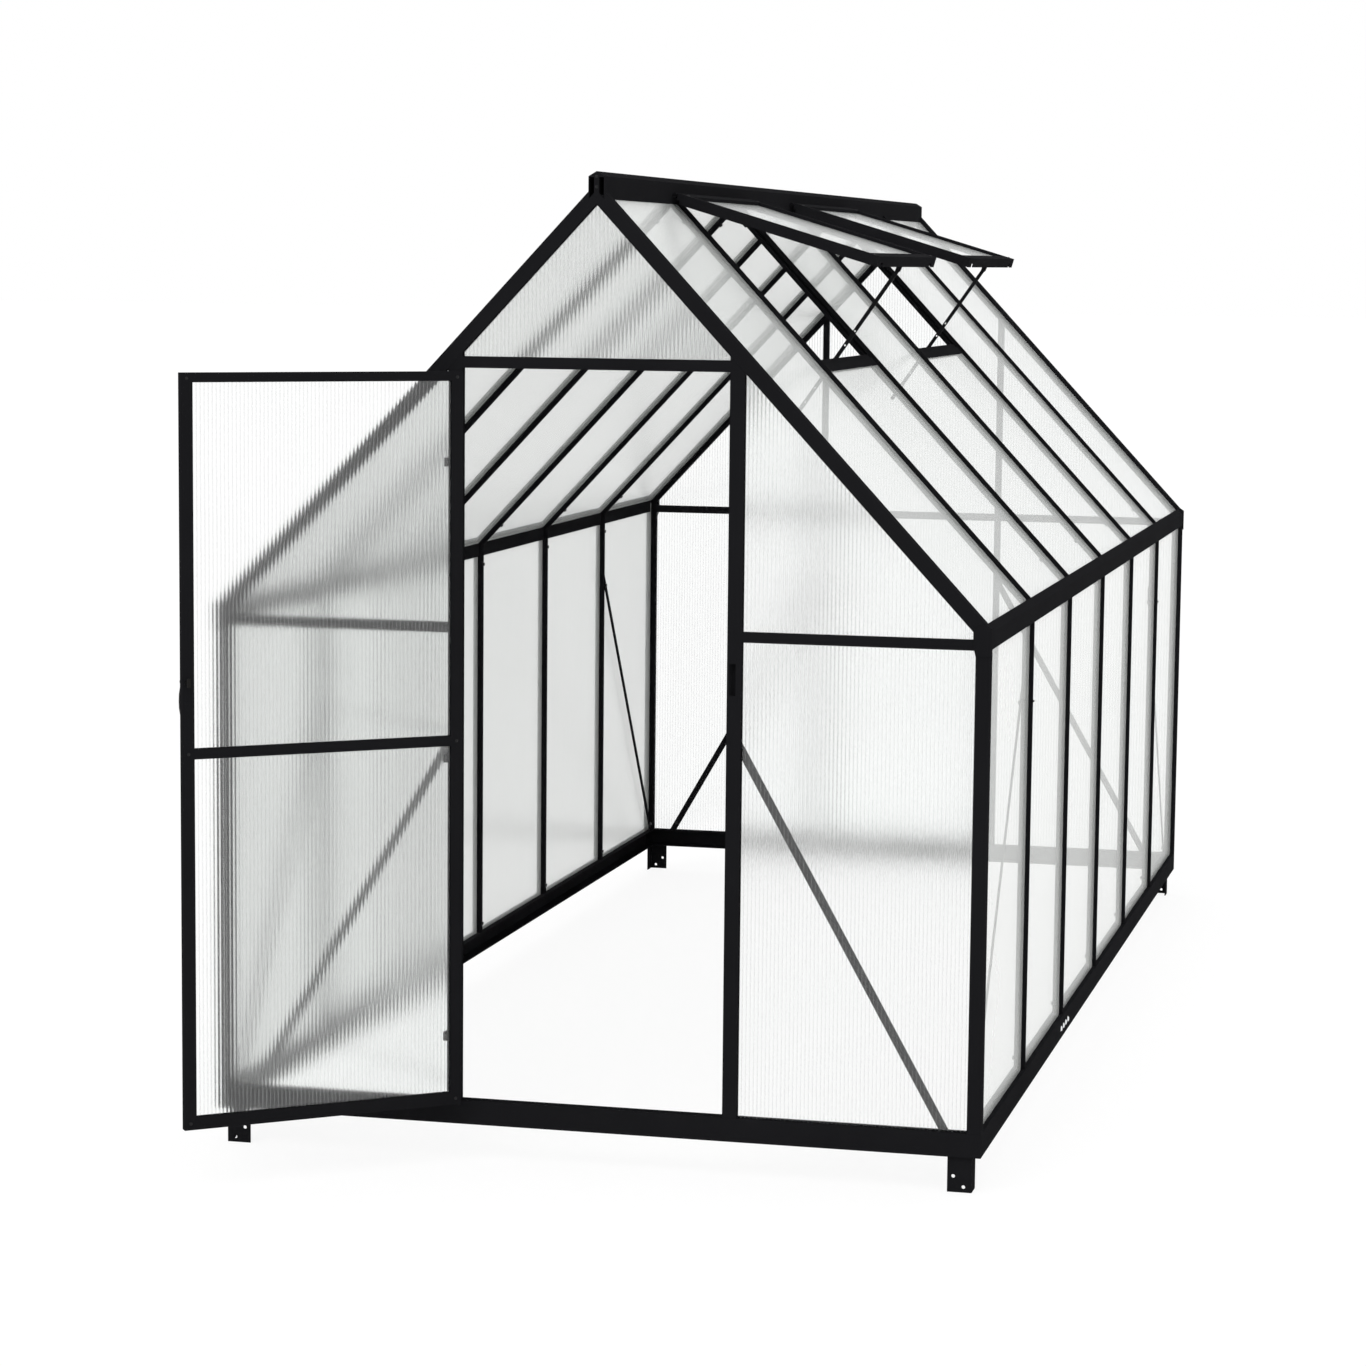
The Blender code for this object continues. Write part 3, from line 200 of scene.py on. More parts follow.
# %% [markdown]
# ## Paper floor
# The real floor is a sweep of white paper. A curved backdrop could be modelled, but in front of a
# white world a flat sheet has no edge to see. The eye is shown a white glow with a little dim paper
# added to it, and only that part takes the shadow. The house is lit by plain white paper.

# %% Floor
FLOOR_GAP = 0.5 * MM
FLOOR_REACH = 150.0
PLAIN_PAPER = colour("#E4E4E2")
DIM_PAPER = colour("#666666")
PAPER_GLOW = 0.88

paper_floor, tree = blank_material("white_paper_floor")
bounce = add(tree, "ShaderNodeBsdfDiffuse", {"Color": PLAIN_PAPER})
glow = add(tree, "ShaderNodeEmission", {"Color": WHITE, "Strength": PAPER_GLOW})
catch = add(tree, "ShaderNodeBsdfDiffuse", {"Color": DIM_PAPER})
shown = add(tree, "ShaderNodeAddShader", {0: glow.outputs[0], 1: catch.outputs[0]})
either = add(tree, "ShaderNodeMixShader", {0: seen_by_eye(tree), 1: bounce.outputs[0], 2: shown.outputs[0]})
add(tree, "ShaderNodeOutputMaterial", {"Surface": either.outputs[0]})

z = cad_low.z - FLOOR_GAP
corners = [(x * FLOOR_REACH, y * FLOOR_REACH, z) for x, y in ((-1, -1), (1, -1), (1, 1), (-1, 1))]
floor_mesh = bpy.data.meshes.new("floor")
floor_mesh.from_pydata(corners, [], [(0, 1, 2, 3)])
floor_mesh.materials.append(paper_floor)
floor = bpy.data.objects.new("floor", floor_mesh)
scene.collection.objects.link(floor)
print("floor at", round(z, 4))

# %% [markdown]
# A ray across the house passes many clear skins, and by default Cycles gives up after eight of
# them and draws black. The limit only has to be larger than the deepest stack of skins and ribs.

# %% Room for many clear skins
DEEPEST_STACK = 40
scene.cycles.transparent_max_bounces = DEEPEST_STACK
print("clear surfaces a ray may pass:", scene.cycles.transparent_max_bounces)

# %% [markdown]
# ## Powder-coated aluminium
# The bars are aluminium extrusions sprayed with dry paint powder and baked. The melted powder
# leaves a matte black skin with a fine orange peel and no metal showing, so it is painted as a
# non-metal. The peel could be modelled, but a bump of a few hundredths of a millimetre does it.
# A weak specular level stands for the matting agent in the powder, which eats most of the shine.

# %% Powder coat
DRIFT_SIZE = 250 * MM
PEEL_DEPTH = 0.15 * MM
RESIN_IOR = 1.5
# The hollows of the peel stay a little glossier, and its crests wear a little duller
HOLLOW_GLOSS = 0.06
CREST_WEAR = 0.08
# Noise seldom leaves this middle part of its range
NOISE_LOW, NOISE_HIGH = 0.3, 0.7
# A Mix node has several sockets of one name, so those for colours go by number
COLOUR_A, COLOUR_B, COLOUR_OUT = 6, 7, 2


def powder_coat(name, dark, light, peel_mm, shine, roughness):
    """Matte powder coat: slow tone drift, fine orange peel and uneven gloss."""
    material, tree = blank_material(name)
    place = add(tree, "ShaderNodeTexCoord").outputs["Object"]
    # Spray passes leave bands of thicker and thinner coat about 250 mm long
    drift = add(
        tree,
        "ShaderNodeTexNoise",
        {"Vector": place, "Scale": 1 / DRIFT_SIZE, "Detail": 3.0, "Roughness": 0.6},
    )
    tone = add(
        tree,
        "ShaderNodeMix",
        {"Factor": drift.outputs["Fac"], COLOUR_A: colour(dark), COLOUR_B: colour(light)},
        data_type="RGBA",
    )
    # Real peel is about 1.5 mm from crest to crest, and the coats have it coarser so that it shows
    peel = add(
        tree,
        "ShaderNodeTexNoise",
        {"Vector": place, "Scale": 1 / (peel_mm * MM), "Detail": 2.0, "Roughness": 0.5},
    ).outputs["Fac"]
    bump = add(tree, "ShaderNodeBump", {"Strength": 0.35, "Distance": PEEL_DEPTH, "Height": peel})
    gloss = add(
        tree,
        "ShaderNodeMapRange",
        {
            "Value": peel,
            "From Min": NOISE_LOW,
            "From Max": NOISE_HIGH,
            "To Min": roughness - HOLLOW_GLOSS,
            "To Max": roughness + CREST_WEAR,
        },
    )
    shader = add(
        tree,
        "ShaderNodeBsdfPrincipled",
        {
            "Base Color": tone.outputs[COLOUR_OUT],
            "Roughness": gloss.outputs[0],
            "Normal": bump.outputs[0],
            "Specular IOR Level": shine,
            "IOR": RESIN_IOR,
        },
    )
    add(tree, "ShaderNodeOutputMaterial", {"Surface": shader.outputs[0]})
    return material


# %% The three black coats
# Baked polyester powder on the extrusions: near black, dull, the lit faces a soft charcoal
coated_aluminium = powder_coat(
    "powder_coated_aluminium", "#18181A", "#1E1E20", peel_mm=3.0, shine=0.002, roughness=0.75
)
# The same powder on the punched steel stays, a touch smoother because the strip is rolled flat
coated_steel = powder_coat(
    "powder_coated_steel_strip", "#19191A", "#1F1F21", peel_mm=4.0, shine=0.03, roughness=0.5
)
# Glass-filled nylon from a textured mould for the lever: slightly browner black, soft sheen
moulded_nylon = powder_coat(
    "moulded_black_nylon", "#181716", "#1F1E1D", peel_mm=1.2, shine=0.08, roughness=0.42
)
print("coats:", coated_aluminium.name, coated_steel.name, moulded_nylon.name)

# %% [markdown]
# ## Twin-wall polycarbonate
# The glazing is an extruded sheet: two clear skins held apart by thin ribs, which look like fine
# flutes. It is neither glass nor frosted plastic. A bar that touches the sheet stays dark and
# crisp, one half a metre behind is a soft grey, and the far wall melts away. Only bent light does
# that, so the fluted sheets of the door and the end walls are rough transmission. The long walls
# and the roof are seen at a flat angle, where the skins mostly scatter: there each skin is a thin
# white veil, which is quick to render, free of noise and adds up by itself.

# %% Polycarbonate skins and ribs
FLUTE_PITCH = 9.5 * MM
HAZE_SIZE = 500 * MM
HAZE_ROUGHNESS = 0.04
WAVE_SIZE = 40 * MM
WAVE_DEPTH = 0.6 * MM
BULGE_DEPTH = 0.16 * MM
PLASTIC_IOR = 1.58
# At scale 1 the bands of a wave texture are this far apart
BAND_PERIOD = math.pi / 10


def polycarbonate(name, tint, pale, veil, roughness, flutes_face=None):
    """Extruded clear sheet: a veil, or bent light where the turn of its flutes is given."""
    material, tree = blank_material(name)
    place = add(tree, "ShaderNodeTexCoord").outputs["Object"]
    # Haze in the protective skin changes over about half a metre
    haze = add(
        tree,
        "ShaderNodeTexNoise",
        {"Vector": place, "Scale": 1 / HAZE_SIZE, "Detail": 2.0, "Roughness": 0.5},
    ).outputs["Fac"]
    tone = add(
        tree,
        "ShaderNodeMix",
        {"Factor": haze, COLOUR_A: colour(tint), COLOUR_B: colour(pale)},
        data_type="RGBA",
    )
    # The extrusion die leaves the faces very slightly wavy, a wave every 40 mm or so
    wave = add(
        tree,
        "ShaderNodeTexNoise",
        {"Vector": place, "Scale": 1 / WAVE_SIZE, "Detail": 1.0, "Roughness": 0.4},
    ).outputs["Fac"]
    bump = add(tree, "ShaderNodeBump", {"Strength": 0.25, "Distance": WAVE_DEPTH, "Height": wave})
    if flutes_face is not None:
        # Between two ribs the skins bulge a little, which bends light sideways
        turned = add(tree, "ShaderNodeMapping", {"Vector": place, "Rotation": (0, 0, -flutes_face)})
        bulge = add(
            tree,
            "ShaderNodeTexWave",
            {"Vector": turned.outputs["Vector"], "Scale": BAND_PERIOD / FLUTE_PITCH},
        ).outputs["Fac"]
        bump = add(
            tree,
            "ShaderNodeBump",
            {"Strength": 1.0, "Distance": BULGE_DEPTH, "Height": bulge, "Normal": bump.outputs[0]},
        )
    gloss = add(
        tree,
        "ShaderNodeMapRange",
        {
            "Value": haze,
            "From Min": NOISE_LOW,
            "From Max": NOISE_HIGH,
            "To Min": roughness,
            "To Max": roughness + HAZE_ROUGHNESS,
        },
    )
    shader = add(
        tree,
        "ShaderNodeBsdfPrincipled",
        {
            "Base Color": tone.outputs[COLOUR_OUT],
            "Roughness": gloss.outputs[0],
            "Normal": bump.outputs[0],
            "IOR": PLASTIC_IOR,
            "Alpha": veil,
            "Transmission Weight": 0.0 if flutes_face is None else 1.0,
        },
    )
    add(tree, "ShaderNodeOutputMaterial", {"Surface": shader.outputs[0]})
    return material


print("flutes every", round(FLUTE_PITCH / MM, 1), "mm")

# %% [markdown]
# Five finishes come from that one function. The door could share the one of the ends, but the
# pattern of its flutes has to be turned to the way the leaf stands at rest. The roof sheet has a
# greyer tint than the walls, which is painted shade: a roof darkened as if less light fell on it.

# %% The five clear finishes
SKIN_VEIL = 0.42
RIB_VEIL = 0.10
DOOR_ANGLE = math.radians(-140.6)

# Walls: almost no colour, a cool grey-green where skins overlap
veiled_sheet = polycarbonate(
    "twin_wall_polycarbonate", "#F6F9F7", "#FDFEFD", veil=SKIN_VEIL, roughness=0.18
)
# Roof and vents: the wall sheet tinted greyer, which is painted shade
painted_shade_roof = polycarbonate(
    "roof_polycarbonate_painted_shade", "#E6E9E7", "#EEF0EF", veil=SKIN_VEIL, roughness=0.18
)
# Ends and door: no light passes straight, all of it is bent by the flutes and the skin's texture
fluted_sheet = polycarbonate(
    "fluted_twin_wall_polycarbonate", "#FCFEFD", "#FFFFFF", veil=1.0, roughness=0.10, flutes_face=0.0
)
fluted_leaf = polycarbonate(
    "fluted_door_polycarbonate", "#FCFEFD", "#FFFFFF", veil=1.0, roughness=0.10, flutes_face=DOOR_ANGLE
)
# The ribs between the skins scatter more light, so they read as stripes: pale on dark, grey on white
clear_rib = polycarbonate(
    "polycarbonate_flute_rib", "#EEF2F0", "#F8FAF9", veil=RIB_VEIL, roughness=0.3
)
print("veils:", SKIN_VEIL, RIB_VEIL)

# %% [markdown]
# ## Give the solids their finishes
# Each solid arrives with one plain material. It could be painted by hand in the viewport, but its
# name already says what it is made of. Its shape is exact and stays as it is, so only the material
# slot changes.


# %% Assign the finishes
FLUTED = ("front_panel", "back_panel", "door_panel")


def finish_for(name):
    """The finish of a solid, from its name."""
    if name.startswith("door_panel"):
        return fluted_leaf
    if name.startswith(FLUTED):
        return fluted_sheet
    if name.startswith(("roof_panel", "vent_panel")):
        return painted_shade_roof
    if "panel" in name:
        return veiled_sheet
    if "stay" in name:
        return coated_steel
    if "handle" in name:
        return moulded_nylon
    return coated_aluminium


for name, solid in nodes.items():
    for slot in solid.material_slots:
        slot.material = finish_for(name)
panels = sorted(n for n in nodes if "panel" in n)
print("clear panels:", len(panels), "coated solids:", len(nodes) - len(panels))

# %% [markdown]
# ## Flutes inside the panels
# The ribs run up each sheet so that water can drain out of them. They could be a striped texture,
# but real ribs have depth: seen square on they are thin lines, and seen along the wall they close
# up and hide what is behind. So Geometry Nodes stand one thin bar on each guide point. The guide
# points come from the panels themselves, so the flutes fill any outline, the gable included.

# %% Measure one panel
# Real ribs are about 0.6 mm thick, which no pixel here would show, so they are drawn at 2 mm
RIB_THICK = 2.0 * MM
SKIN_THICK = 0.5 * MM
SHORTEST_RIB = 10 * MM
NO_WIDTH = 1e-9


def panel_axes(solid):
    """Directions across the flutes, through the sheet and along the flutes."""
    widest = max(solid.data.polygons, key=lambda face: face.area)
    through = widest.normal.normalized()
    along = (Vector((0, 0, 1)) - through * through.z).normalized()
    return through.cross(along), through, along


def span_at(edges, position):
    """Lowest and highest point of the panel's outline on one line along the flutes."""
    found = []
    for (u0, v0), (u1, v1) in edges:
        if min(u0, u1) <= position <= max(u0, u1) and abs(u1 - u0) > NO_WIDTH:
            found.append(v0 + (v1 - v0) * (position - u0) / (u1 - u0))
    return (min(found), max(found)) if found else (0, 0)


def flutes_of(solid):
    """Middle, length and turn of every rib in one panel, and the sheet's thickness."""
    across, through, along = panel_axes(solid)
    points = [v.co for v in solid.data.vertices]
    flat = [(p.dot(across), p.dot(along)) for p in points]
    edges = [(flat[e.vertices[0]], flat[e.vertices[1]]) for e in solid.data.edges]
    depths = [p.dot(through) for p in points]
    middle = (min(depths) + max(depths)) / 2
    start = min(u for u, v in flat)
    width = max(u for u, v in flat) - start
    count = int(width / FLUTE_PITCH)
    margin = (width - (count - 1) * FLUTE_PITCH) / 2
    turn = Matrix((across, along.cross(across), along)).transposed().to_euler()
    ribs = []
    for k in range(count):
        u = start + margin + k * FLUTE_PITCH
        ends = [span_at(edges, u + side * RIB_THICK / 2) for side in (-1, 1)]
        low = max(e[0] for e in ends) + SKIN_THICK
        high = min(e[1] for e in ends) - SKIN_THICK
        if high - low > SHORTEST_RIB:
            ribs.append((across * u + along * (low + high) / 2 + through * middle, high - low, turn))
    return ribs, max(depths) - min(depths)


sample, sheet = flutes_of(nodes["front_panel_right_lower"])
print("one panel holds", len(sample), "ribs in a sheet of", round(sheet / MM, 2), "mm")

# %% [markdown]
# ## Trees that stand shapes on points
# Each tree takes the points with their length and turn, sets a shape on each and writes the result
# out as real mesh. Every sheet could have its own tree, but with its sizes as named inputs one tree
# serves them all. Trees start and end alike, so two functions make those parts.


# %% Start and end of a tree
def new_tree(name, sizes):
    """A Geometry Nodes tree with inputs for the guide points, a finish and named sizes."""
    tree = bpy.data.node_groups.new(name, "GeometryNodeTree")
    tree.interface.new_socket("Geometry", in_out="INPUT", socket_type="NodeSocketGeometry")
    finish = tree.interface.new_socket("Finish", in_out="INPUT", socket_type="NodeSocketMaterial")
    sockets = {"Finish": finish.identifier}
    for size in sizes:
        socket = tree.interface.new_socket(size, in_out="INPUT", socket_type="NodeSocketFloat")
        sockets[size] = socket.identifier
    tree.interface.new_socket("Geometry", in_out="OUTPUT", socket_type="NodeSocketGeometry")
    return tree, sockets


def live_output(node):
    """The output that is switched on, because a node has one for each type of data."""
    return next(socket for socket in node.outputs if socket.enabled)


def stand_on_points(tree, given, shape, scale):
    """Set a shape on every guide point, turn it, make it real mesh and give it the finish."""
    turn = add(tree, "GeometryNodeInputNamedAttribute", {"Name": "piece_turn"}, data_type="FLOAT_VECTOR")
    turned = add(tree, "FunctionNodeEulerToRotation", {"Euler": live_output(turn)})
    placed = add(
        tree,
        "GeometryNodeInstanceOnPoints",
        {
            "Points": given.outputs["Geometry"],
            "Instance": shape,
            "Rotation": turned.outputs[0],
            "Scale": scale,
        },
    )
    real = add(tree, "GeometryNodeRealizeInstances", {"Geometry": placed.outputs["Instances"]})
    dressed = add(
        tree,
        "GeometryNodeSetMaterial",
        {"Geometry": real.outputs["Geometry"], "Material": given.outputs["Finish"]},
    )
    add(tree, "NodeGroupOutput", {"Geometry": dressed.outputs["Geometry"]})
    print(tree.name, "has", len(tree.nodes), "nodes")


# %% Bar tree
bar_tree, bar_sizes = new_tree("straight_bars", ("Bar Width", "Bar Depth"))
given = add(bar_tree, "NodeGroupInput")
bar = add(bar_tree, "GeometryNodeMeshCube", {"Size": (1, 1, 1)})
length = add(bar_tree, "GeometryNodeInputNamedAttribute", {"Name": "piece_length"}, data_type="FLOAT")
stretch = add(
    bar_tree,
    "ShaderNodeCombineXYZ",
    {"X": given.outputs["Bar Width"], "Y": given.outputs["Bar Depth"], "Z": live_output(length)},
)
stand_on_points(bar_tree, given, bar.outputs["Mesh"], stretch.outputs[0])

# %% [markdown]
# A tree needs an object to run on, so the guide points become one for a moment. The modifier could
# stay live, but a moving part has to be plain mesh. So the result is kept and the guide is removed.


# %% Grow pieces from guide points
def grow(name, body, guides, tree, sockets, sizes):
    """Run a tree on guide points and keep the result as a plain mesh that rides on a body."""
    guide_mesh = bpy.data.meshes.new(name + "_guide")
    guide_mesh.from_pydata([place for place, length, turn in guides], [], [])
    lengths = guide_mesh.attributes.new("piece_length", "FLOAT", "POINT")
    turns = guide_mesh.attributes.new("piece_turn", "FLOAT_VECTOR", "POINT")
    for i, (place, length, turn) in enumerate(guides):
        lengths.data[i].value = length
        turns.data[i].vector = turn
    guide = bpy.data.objects.new(name + "_guide", guide_mesh)
    scene.collection.objects.link(guide)
    modifier = guide.modifiers.new("grow", "NODES")
    modifier.node_group = tree
    for size, value in sizes.items():
        modifier[sockets[size]] = value
    graph = bpy.context.evaluated_depsgraph_get()
    mesh = bpy.data.meshes.new_from_object(guide.evaluated_get(graph), depsgraph=graph)
    mesh.name = name
    bpy.data.objects.remove(guide)
    piece = bpy.data.objects.new(name, mesh)
    scene.collection.objects.link(piece)
    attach(piece, body)
    print(name, "on", body, ":", len(guides), "with", len(mesh.polygons), "faces")
    return piece


def body_of(name):
    """The body that a solid moves with."""
    return next(b for b, empty in frame["bodies"].items() if nodes[name].parent == empty)


STANDING = body_of("base_frame")
print("the standing frame is the body", STANDING)

# %% Flutes of the ends and the door
flutes = {}
for name in panels:
    if name.startswith(FLUTED):
        ribs, sheet = flutes_of(nodes[name])
        flutes.setdefault(body_of(name), []).extend(ribs)
# All sheets are equally thick, so the last one measured gives the depth of every rib
rib_sizes = {"Finish": clear_rib, "Bar Width": RIB_THICK, "Bar Depth": sheet - 2 * SKIN_THICK}
for body, ribs in flutes.items():
    piece = grow("flutes_" + body, body, ribs, bar_tree, bar_sizes, rib_sizes)

# %% [markdown]
# ## Bolts, nuts and screws
# Each glazing bar has a channel on its inner side that takes the head of a bolt, so what shows is
# a washer and a nut across the slot. The door, the vents, the brackets and the ridge have low
# screws. They are zinc-plated steel, blackened where they sit on the black frame. One plain grey
# could do for such small things, but plating is never even: it stains in patches.

# %% Zinc and black steel
STAIN_SIZE = 3 * MM
STAIN_ROUGHNESS = 0.1


def plated_steel(name, dull, fresh, roughness):
    """Plated metal: patches of fresher and duller plating."""
    material, tree = blank_material(name)
    place = add(tree, "ShaderNodeTexCoord").outputs["Object"]
    # Passivation stains are 3 mm or so across, about half a screw head
    stain = add(
        tree,
        "ShaderNodeTexNoise",
        {"Vector": place, "Scale": 1 / STAIN_SIZE, "Detail": 2.0},
    ).outputs["Fac"]
    tone = add(
        tree,
        "ShaderNodeMix",
        {"Factor": stain, COLOUR_A: colour(dull), COLOUR_B: colour(fresh)},
        data_type="RGBA",
    )
    gloss = add(
        tree,
        "ShaderNodeMapRange",
        {
            "Value": stain,
            "From Min": NOISE_LOW,
            "From Max": NOISE_HIGH,
            "To Min": roughness + STAIN_ROUGHNESS,
            "To Max": roughness,
        },
    )
    shader = add(
        tree,
        "ShaderNodeBsdfPrincipled",
        {"Base Color": tone.outputs[COLOUR_OUT], "Roughness": gloss.outputs[0], "Metallic": 1.0},
    )
    add(tree, "ShaderNodeOutputMaterial", {"Surface": shader.outputs[0]})
    return material


# Black passivated zinc: a thin dark film with the fine grain of the pressed steel under it
black_steel = powder_coat(
    "black_passivated_steel", "#161617", "#1E1E20", peel_mm=0.8, shine=0.25, roughness=0.4
)
# Bright zinc on the screws that splice the base rail: pale blue-white, half dull from handling
bright_zinc = plated_steel("bright_zinc_plated_steel", "#F0F1F3", "#FCFCFD", roughness=0.3)
print("fastener finishes:", black_steel.name, bright_zinc.name)

# %% [markdown]
# A fastener is a washer with a head on it. Each kind could be modelled by itself, but a short
# cylinder and a cone with a flat top make a nut, a screw head and a bolt end alike. Only the radii,
# the height and the number of sides differ, so one tree with these as inputs makes them all.

# %% Fastener tree
WASHER_SIDES = 20

bolt_tree, bolt_sizes = new_tree(
    "fastener",
    ("Washer Radius", "Washer Thickness", "Head Radius", "Head Crown", "Head Sides", "Head Height"),
)
given = add(bolt_tree, "NodeGroupInput")
washer = add(
    bolt_tree,
    "GeometryNodeMeshCone",
    {
        "Vertices": WASHER_SIDES,
        "Radius Top": given.outputs["Washer Radius"],
        "Radius Bottom": given.outputs["Washer Radius"],
        "Depth": given.outputs["Washer Thickness"],
    },
)
head = add(
    bolt_tree,
    "GeometryNodeMeshCone",
    {
        "Vertices": given.outputs["Head Sides"],
        "Radius Top": given.outputs["Head Crown"],
        "Radius Bottom": given.outputs["Head Radius"],
        "Depth": given.outputs["Head Height"],
    },
)
both = add(bolt_tree, "GeometryNodeJoinGeometry")
for part in (washer, head):
    bolt_tree.links.new(part.outputs["Mesh"], both.inputs["Geometry"])
length = add(bolt_tree, "GeometryNodeInputNamedAttribute", {"Name": "piece_length"}, data_type="FLOAT")
stand_on_points(bolt_tree, given, both.outputs["Geometry"], live_output(length))


# %% Fastener sizes
def fastener_sizes(washer, head, sides):
    """Washer radius and thickness, then head radius, crown and height, all in millimetres."""
    return {
        "Washer Radius": washer[0] * MM,
        "Washer Thickness": washer[1] * MM,
        "Head Radius": head[0] * MM,
        "Head Crown": head[1] * MM,
        "Head Sides": sides,
        "Head Height": head[2] * MM,
    }


NUT = fastener_sizes(washer=(6.5, 1.2), head=(5.6, 5.3, 5), sides=6)
SCREW = fastener_sizes(washer=(4.0, 0.4), head=(3.4, 2.2, 1.8), sides=16)
BOLT_END = fastener_sizes(washer=(3.7, 0.8), head=(3.4, 2.8, 4), sides=6)
SPLICE = fastener_sizes(washer=(7.6, 0.6), head=(7, 5.6, 3.1), sides=20)


def fasten(name, body, guides, sizes, finish):
    """Stand fasteners of one kind on their seats."""
    grow(name, body, guides, bolt_tree, bolt_sizes, {"Finish": finish, **sizes})


print("a nut has", NUT["Head Sides"], "sides and is", round(NUT["Head Height"] / MM, 1), "mm tall")

# %% [markdown]
# ## Seats for the fasteners
# A real fastener is drawn up until it sits flat. Places could be typed in as numbers, but then a
# changed solid would leave them in the air. Instead a line of sight is cast on the solid itself,
# and the fastener stands where it lands, turned to the face and sunk in by a hair.

# %% Find seats on the solids
SINK = 0.2 * MM
OWN_SIZE = 1.0
surfaces = {}


def seat(name, origin, aim, beside=(0, 0, 0)):
    """Guide for a fastener where a line of sight lands on a solid, cast beside a slot if there is one."""
    if name not in surfaces:
        mesh = nodes[name].data
        faces = [tuple(face.vertices) for face in mesh.polygons]
        surfaces[name] = BVHTree.FromPolygons([v.co for v in mesh.vertices], faces)
    beside = Vector(beside)
    aim = Vector(aim).normalized()
    place, normal, face, far = surfaces[name].ray_cast(Vector(origin) + beside, aim)
    if place is None:
        raise ValueError("no seat on " + name + " from " + str(tuple(origin)))
    return place - beside - normal * SINK, OWN_SIZE, normal.to_track_quat("Z", "Y").to_euler()


BAY = 0.7
WALL_SIGHT = 0.6
WALL_NUTS = (0.085, 1.165)
# The ray for a nut lands beside the channel's slot, then the nut is centred on the slot
BESIDE_SLOT = (0, 5.5 * MM, 0)
sample = seat("bay_frame_1", (WALL_SIGHT, BAY, WALL_NUTS[0]), (1, 0, 0), BESIDE_SLOT)
print("a nut sits at", [round(v, 4) for v in sample[0]])

# %% [markdown]
# The bars, the braces and the ridge all belong to the standing frame, so their fasteners are
# gathered as one list of nuts, one of bolt ends and one of screws. They could be one long list, but
# each kind has its own sizes. A nut near each end of a wall bar and a roof bar holds it in place.

# %% Nuts of the glazing bars
BAYS = 6
HOUSE_LENGTH = BAY * BAYS
ROOF_SLOPE = math.radians(47.02)
APEX = Vector((0, 0, 2.2243))
ROOF_NUTS = (0.07, 1.27)
ROOF_SIGHT = 0.2

nuts = []
for side in (-1, 1):
    down = Vector((side * math.cos(ROOF_SLOPE), 0, -math.sin(ROOF_SLOPE)))
    outward = Vector((side * math.sin(ROOF_SLOPE), 0, math.cos(ROOF_SLOPE)))
    for k in range(1, BAYS):
        name = "bay_frame_" + str(k)
        for z in WALL_NUTS:
            nuts.append(seat(name, (side * WALL_SIGHT, k * BAY, z), (side, 0, 0), BESIDE_SLOT))
        for far in ROOF_NUTS:
            start = APEX + down * far - outward * ROOF_SIGHT + Vector((0, k * BAY, 0))
            nuts.append(seat(name, start, outward, BESIDE_SLOT))
print("nuts on the bars:", len(nuts))

# %% Nuts and bolt ends of the braces
# Ends of a brace: how far from the middle, or from the end wall for the side braces, and how high
FRONT_BRACE_ENDS = ((0.837, 0.083), (0.337, 0.962))
BACK_BRACE_ENDS = ((0.822, 0.083), (0.316, 0.957))
SIDE_BRACE_ENDS = ((0.055, 0.083), (0.690, 0.984))
THROUGH_BOLT = (0.700, 0.988)
# The bar that carries a side brace, with its end wall and the way from there into the house
SIDE_BRACES = {"bay_frame_1": (0, 1), "bay_frame_5": (HOUSE_LENGTH, -1)}
BRACE_SIGHT = 0.5
OUTER_SIGHT = 1.2

ends = []
for side in (-1, 1):
    for x, z in FRONT_BRACE_ENDS:
        nuts.append(seat("door_surround", (side * x, BRACE_SIGHT, z), (0, -1, 0)))
    for x, z in BACK_BRACE_ENDS:
        nuts.append(seat("back_mullions", (side * x, HOUSE_LENGTH - BRACE_SIGHT, z), (0, 1, 0)))
    for name, (wall, inward) in SIDE_BRACES.items():
        for y, z in SIDE_BRACE_ENDS:
            nuts.append(seat(name, (side * BRACE_SIGHT, wall + inward * y, z), (side, 0, 0)))
        # The bolt of the upper end comes out through the bar
        y, z = THROUGH_BOLT
        ends.append(seat(name, (side * OUTER_SIGHT, wall + inward * y, z), (-side, 0, 0)))
print("nuts:", len(nuts), "bolt ends:", len(ends))

# %% Screws of the brackets and the ridge
BRACKET_X = -0.350
BRACKET_SCREWS = (0.220, 0.890, 1.590)
RIDGE_SCREWS = (2.232, 2.256)
END_SIGHT = 0.4

screws = []
for z in BRACKET_SCREWS:
    screws.append(seat("door_surround", (BRACKET_X, -END_SIGHT, z), (0, 1, 0)))
for z in RIDGE_SCREWS:
    screws.append(seat("ridge_beam", (0, -END_SIGHT, z), (0, 1, 0)))
    screws.append(seat("ridge_beam", (0, HOUSE_LENGTH + END_SIGHT, z), (0, -1, 0)))

fasten("bar_nuts", STANDING, nuts, NUT, black_steel)
fasten("brace_bolt_ends", STANDING, ends, BOLT_END, black_steel)
fasten("frame_screws", STANDING, screws, SCREW, black_steel)

# %% [markdown]
# ## Eave covers
# From indoors the eaves are solid black: a flat cover strip clips over the joint of wall and roof
# between every two bars. One long strip would have to be notched around each bar. The outside
# keeps the exact beam, so the short strips only need an inner face, and the bar tree makes them.

# %% Eave cover strips
COVER_TALL = 38 * MM
COVER_THICK = 2 * MM
COVER_CLEAR = 0.6 * MM
COVER_DROP = 3 * MM
PANEL_FACE = 0.927
SHEET_THICK = 6 * MM
KNEE = 1.2294
BAR_LEG = 15.5 * MM
CORNER_LEG = 37 * MM

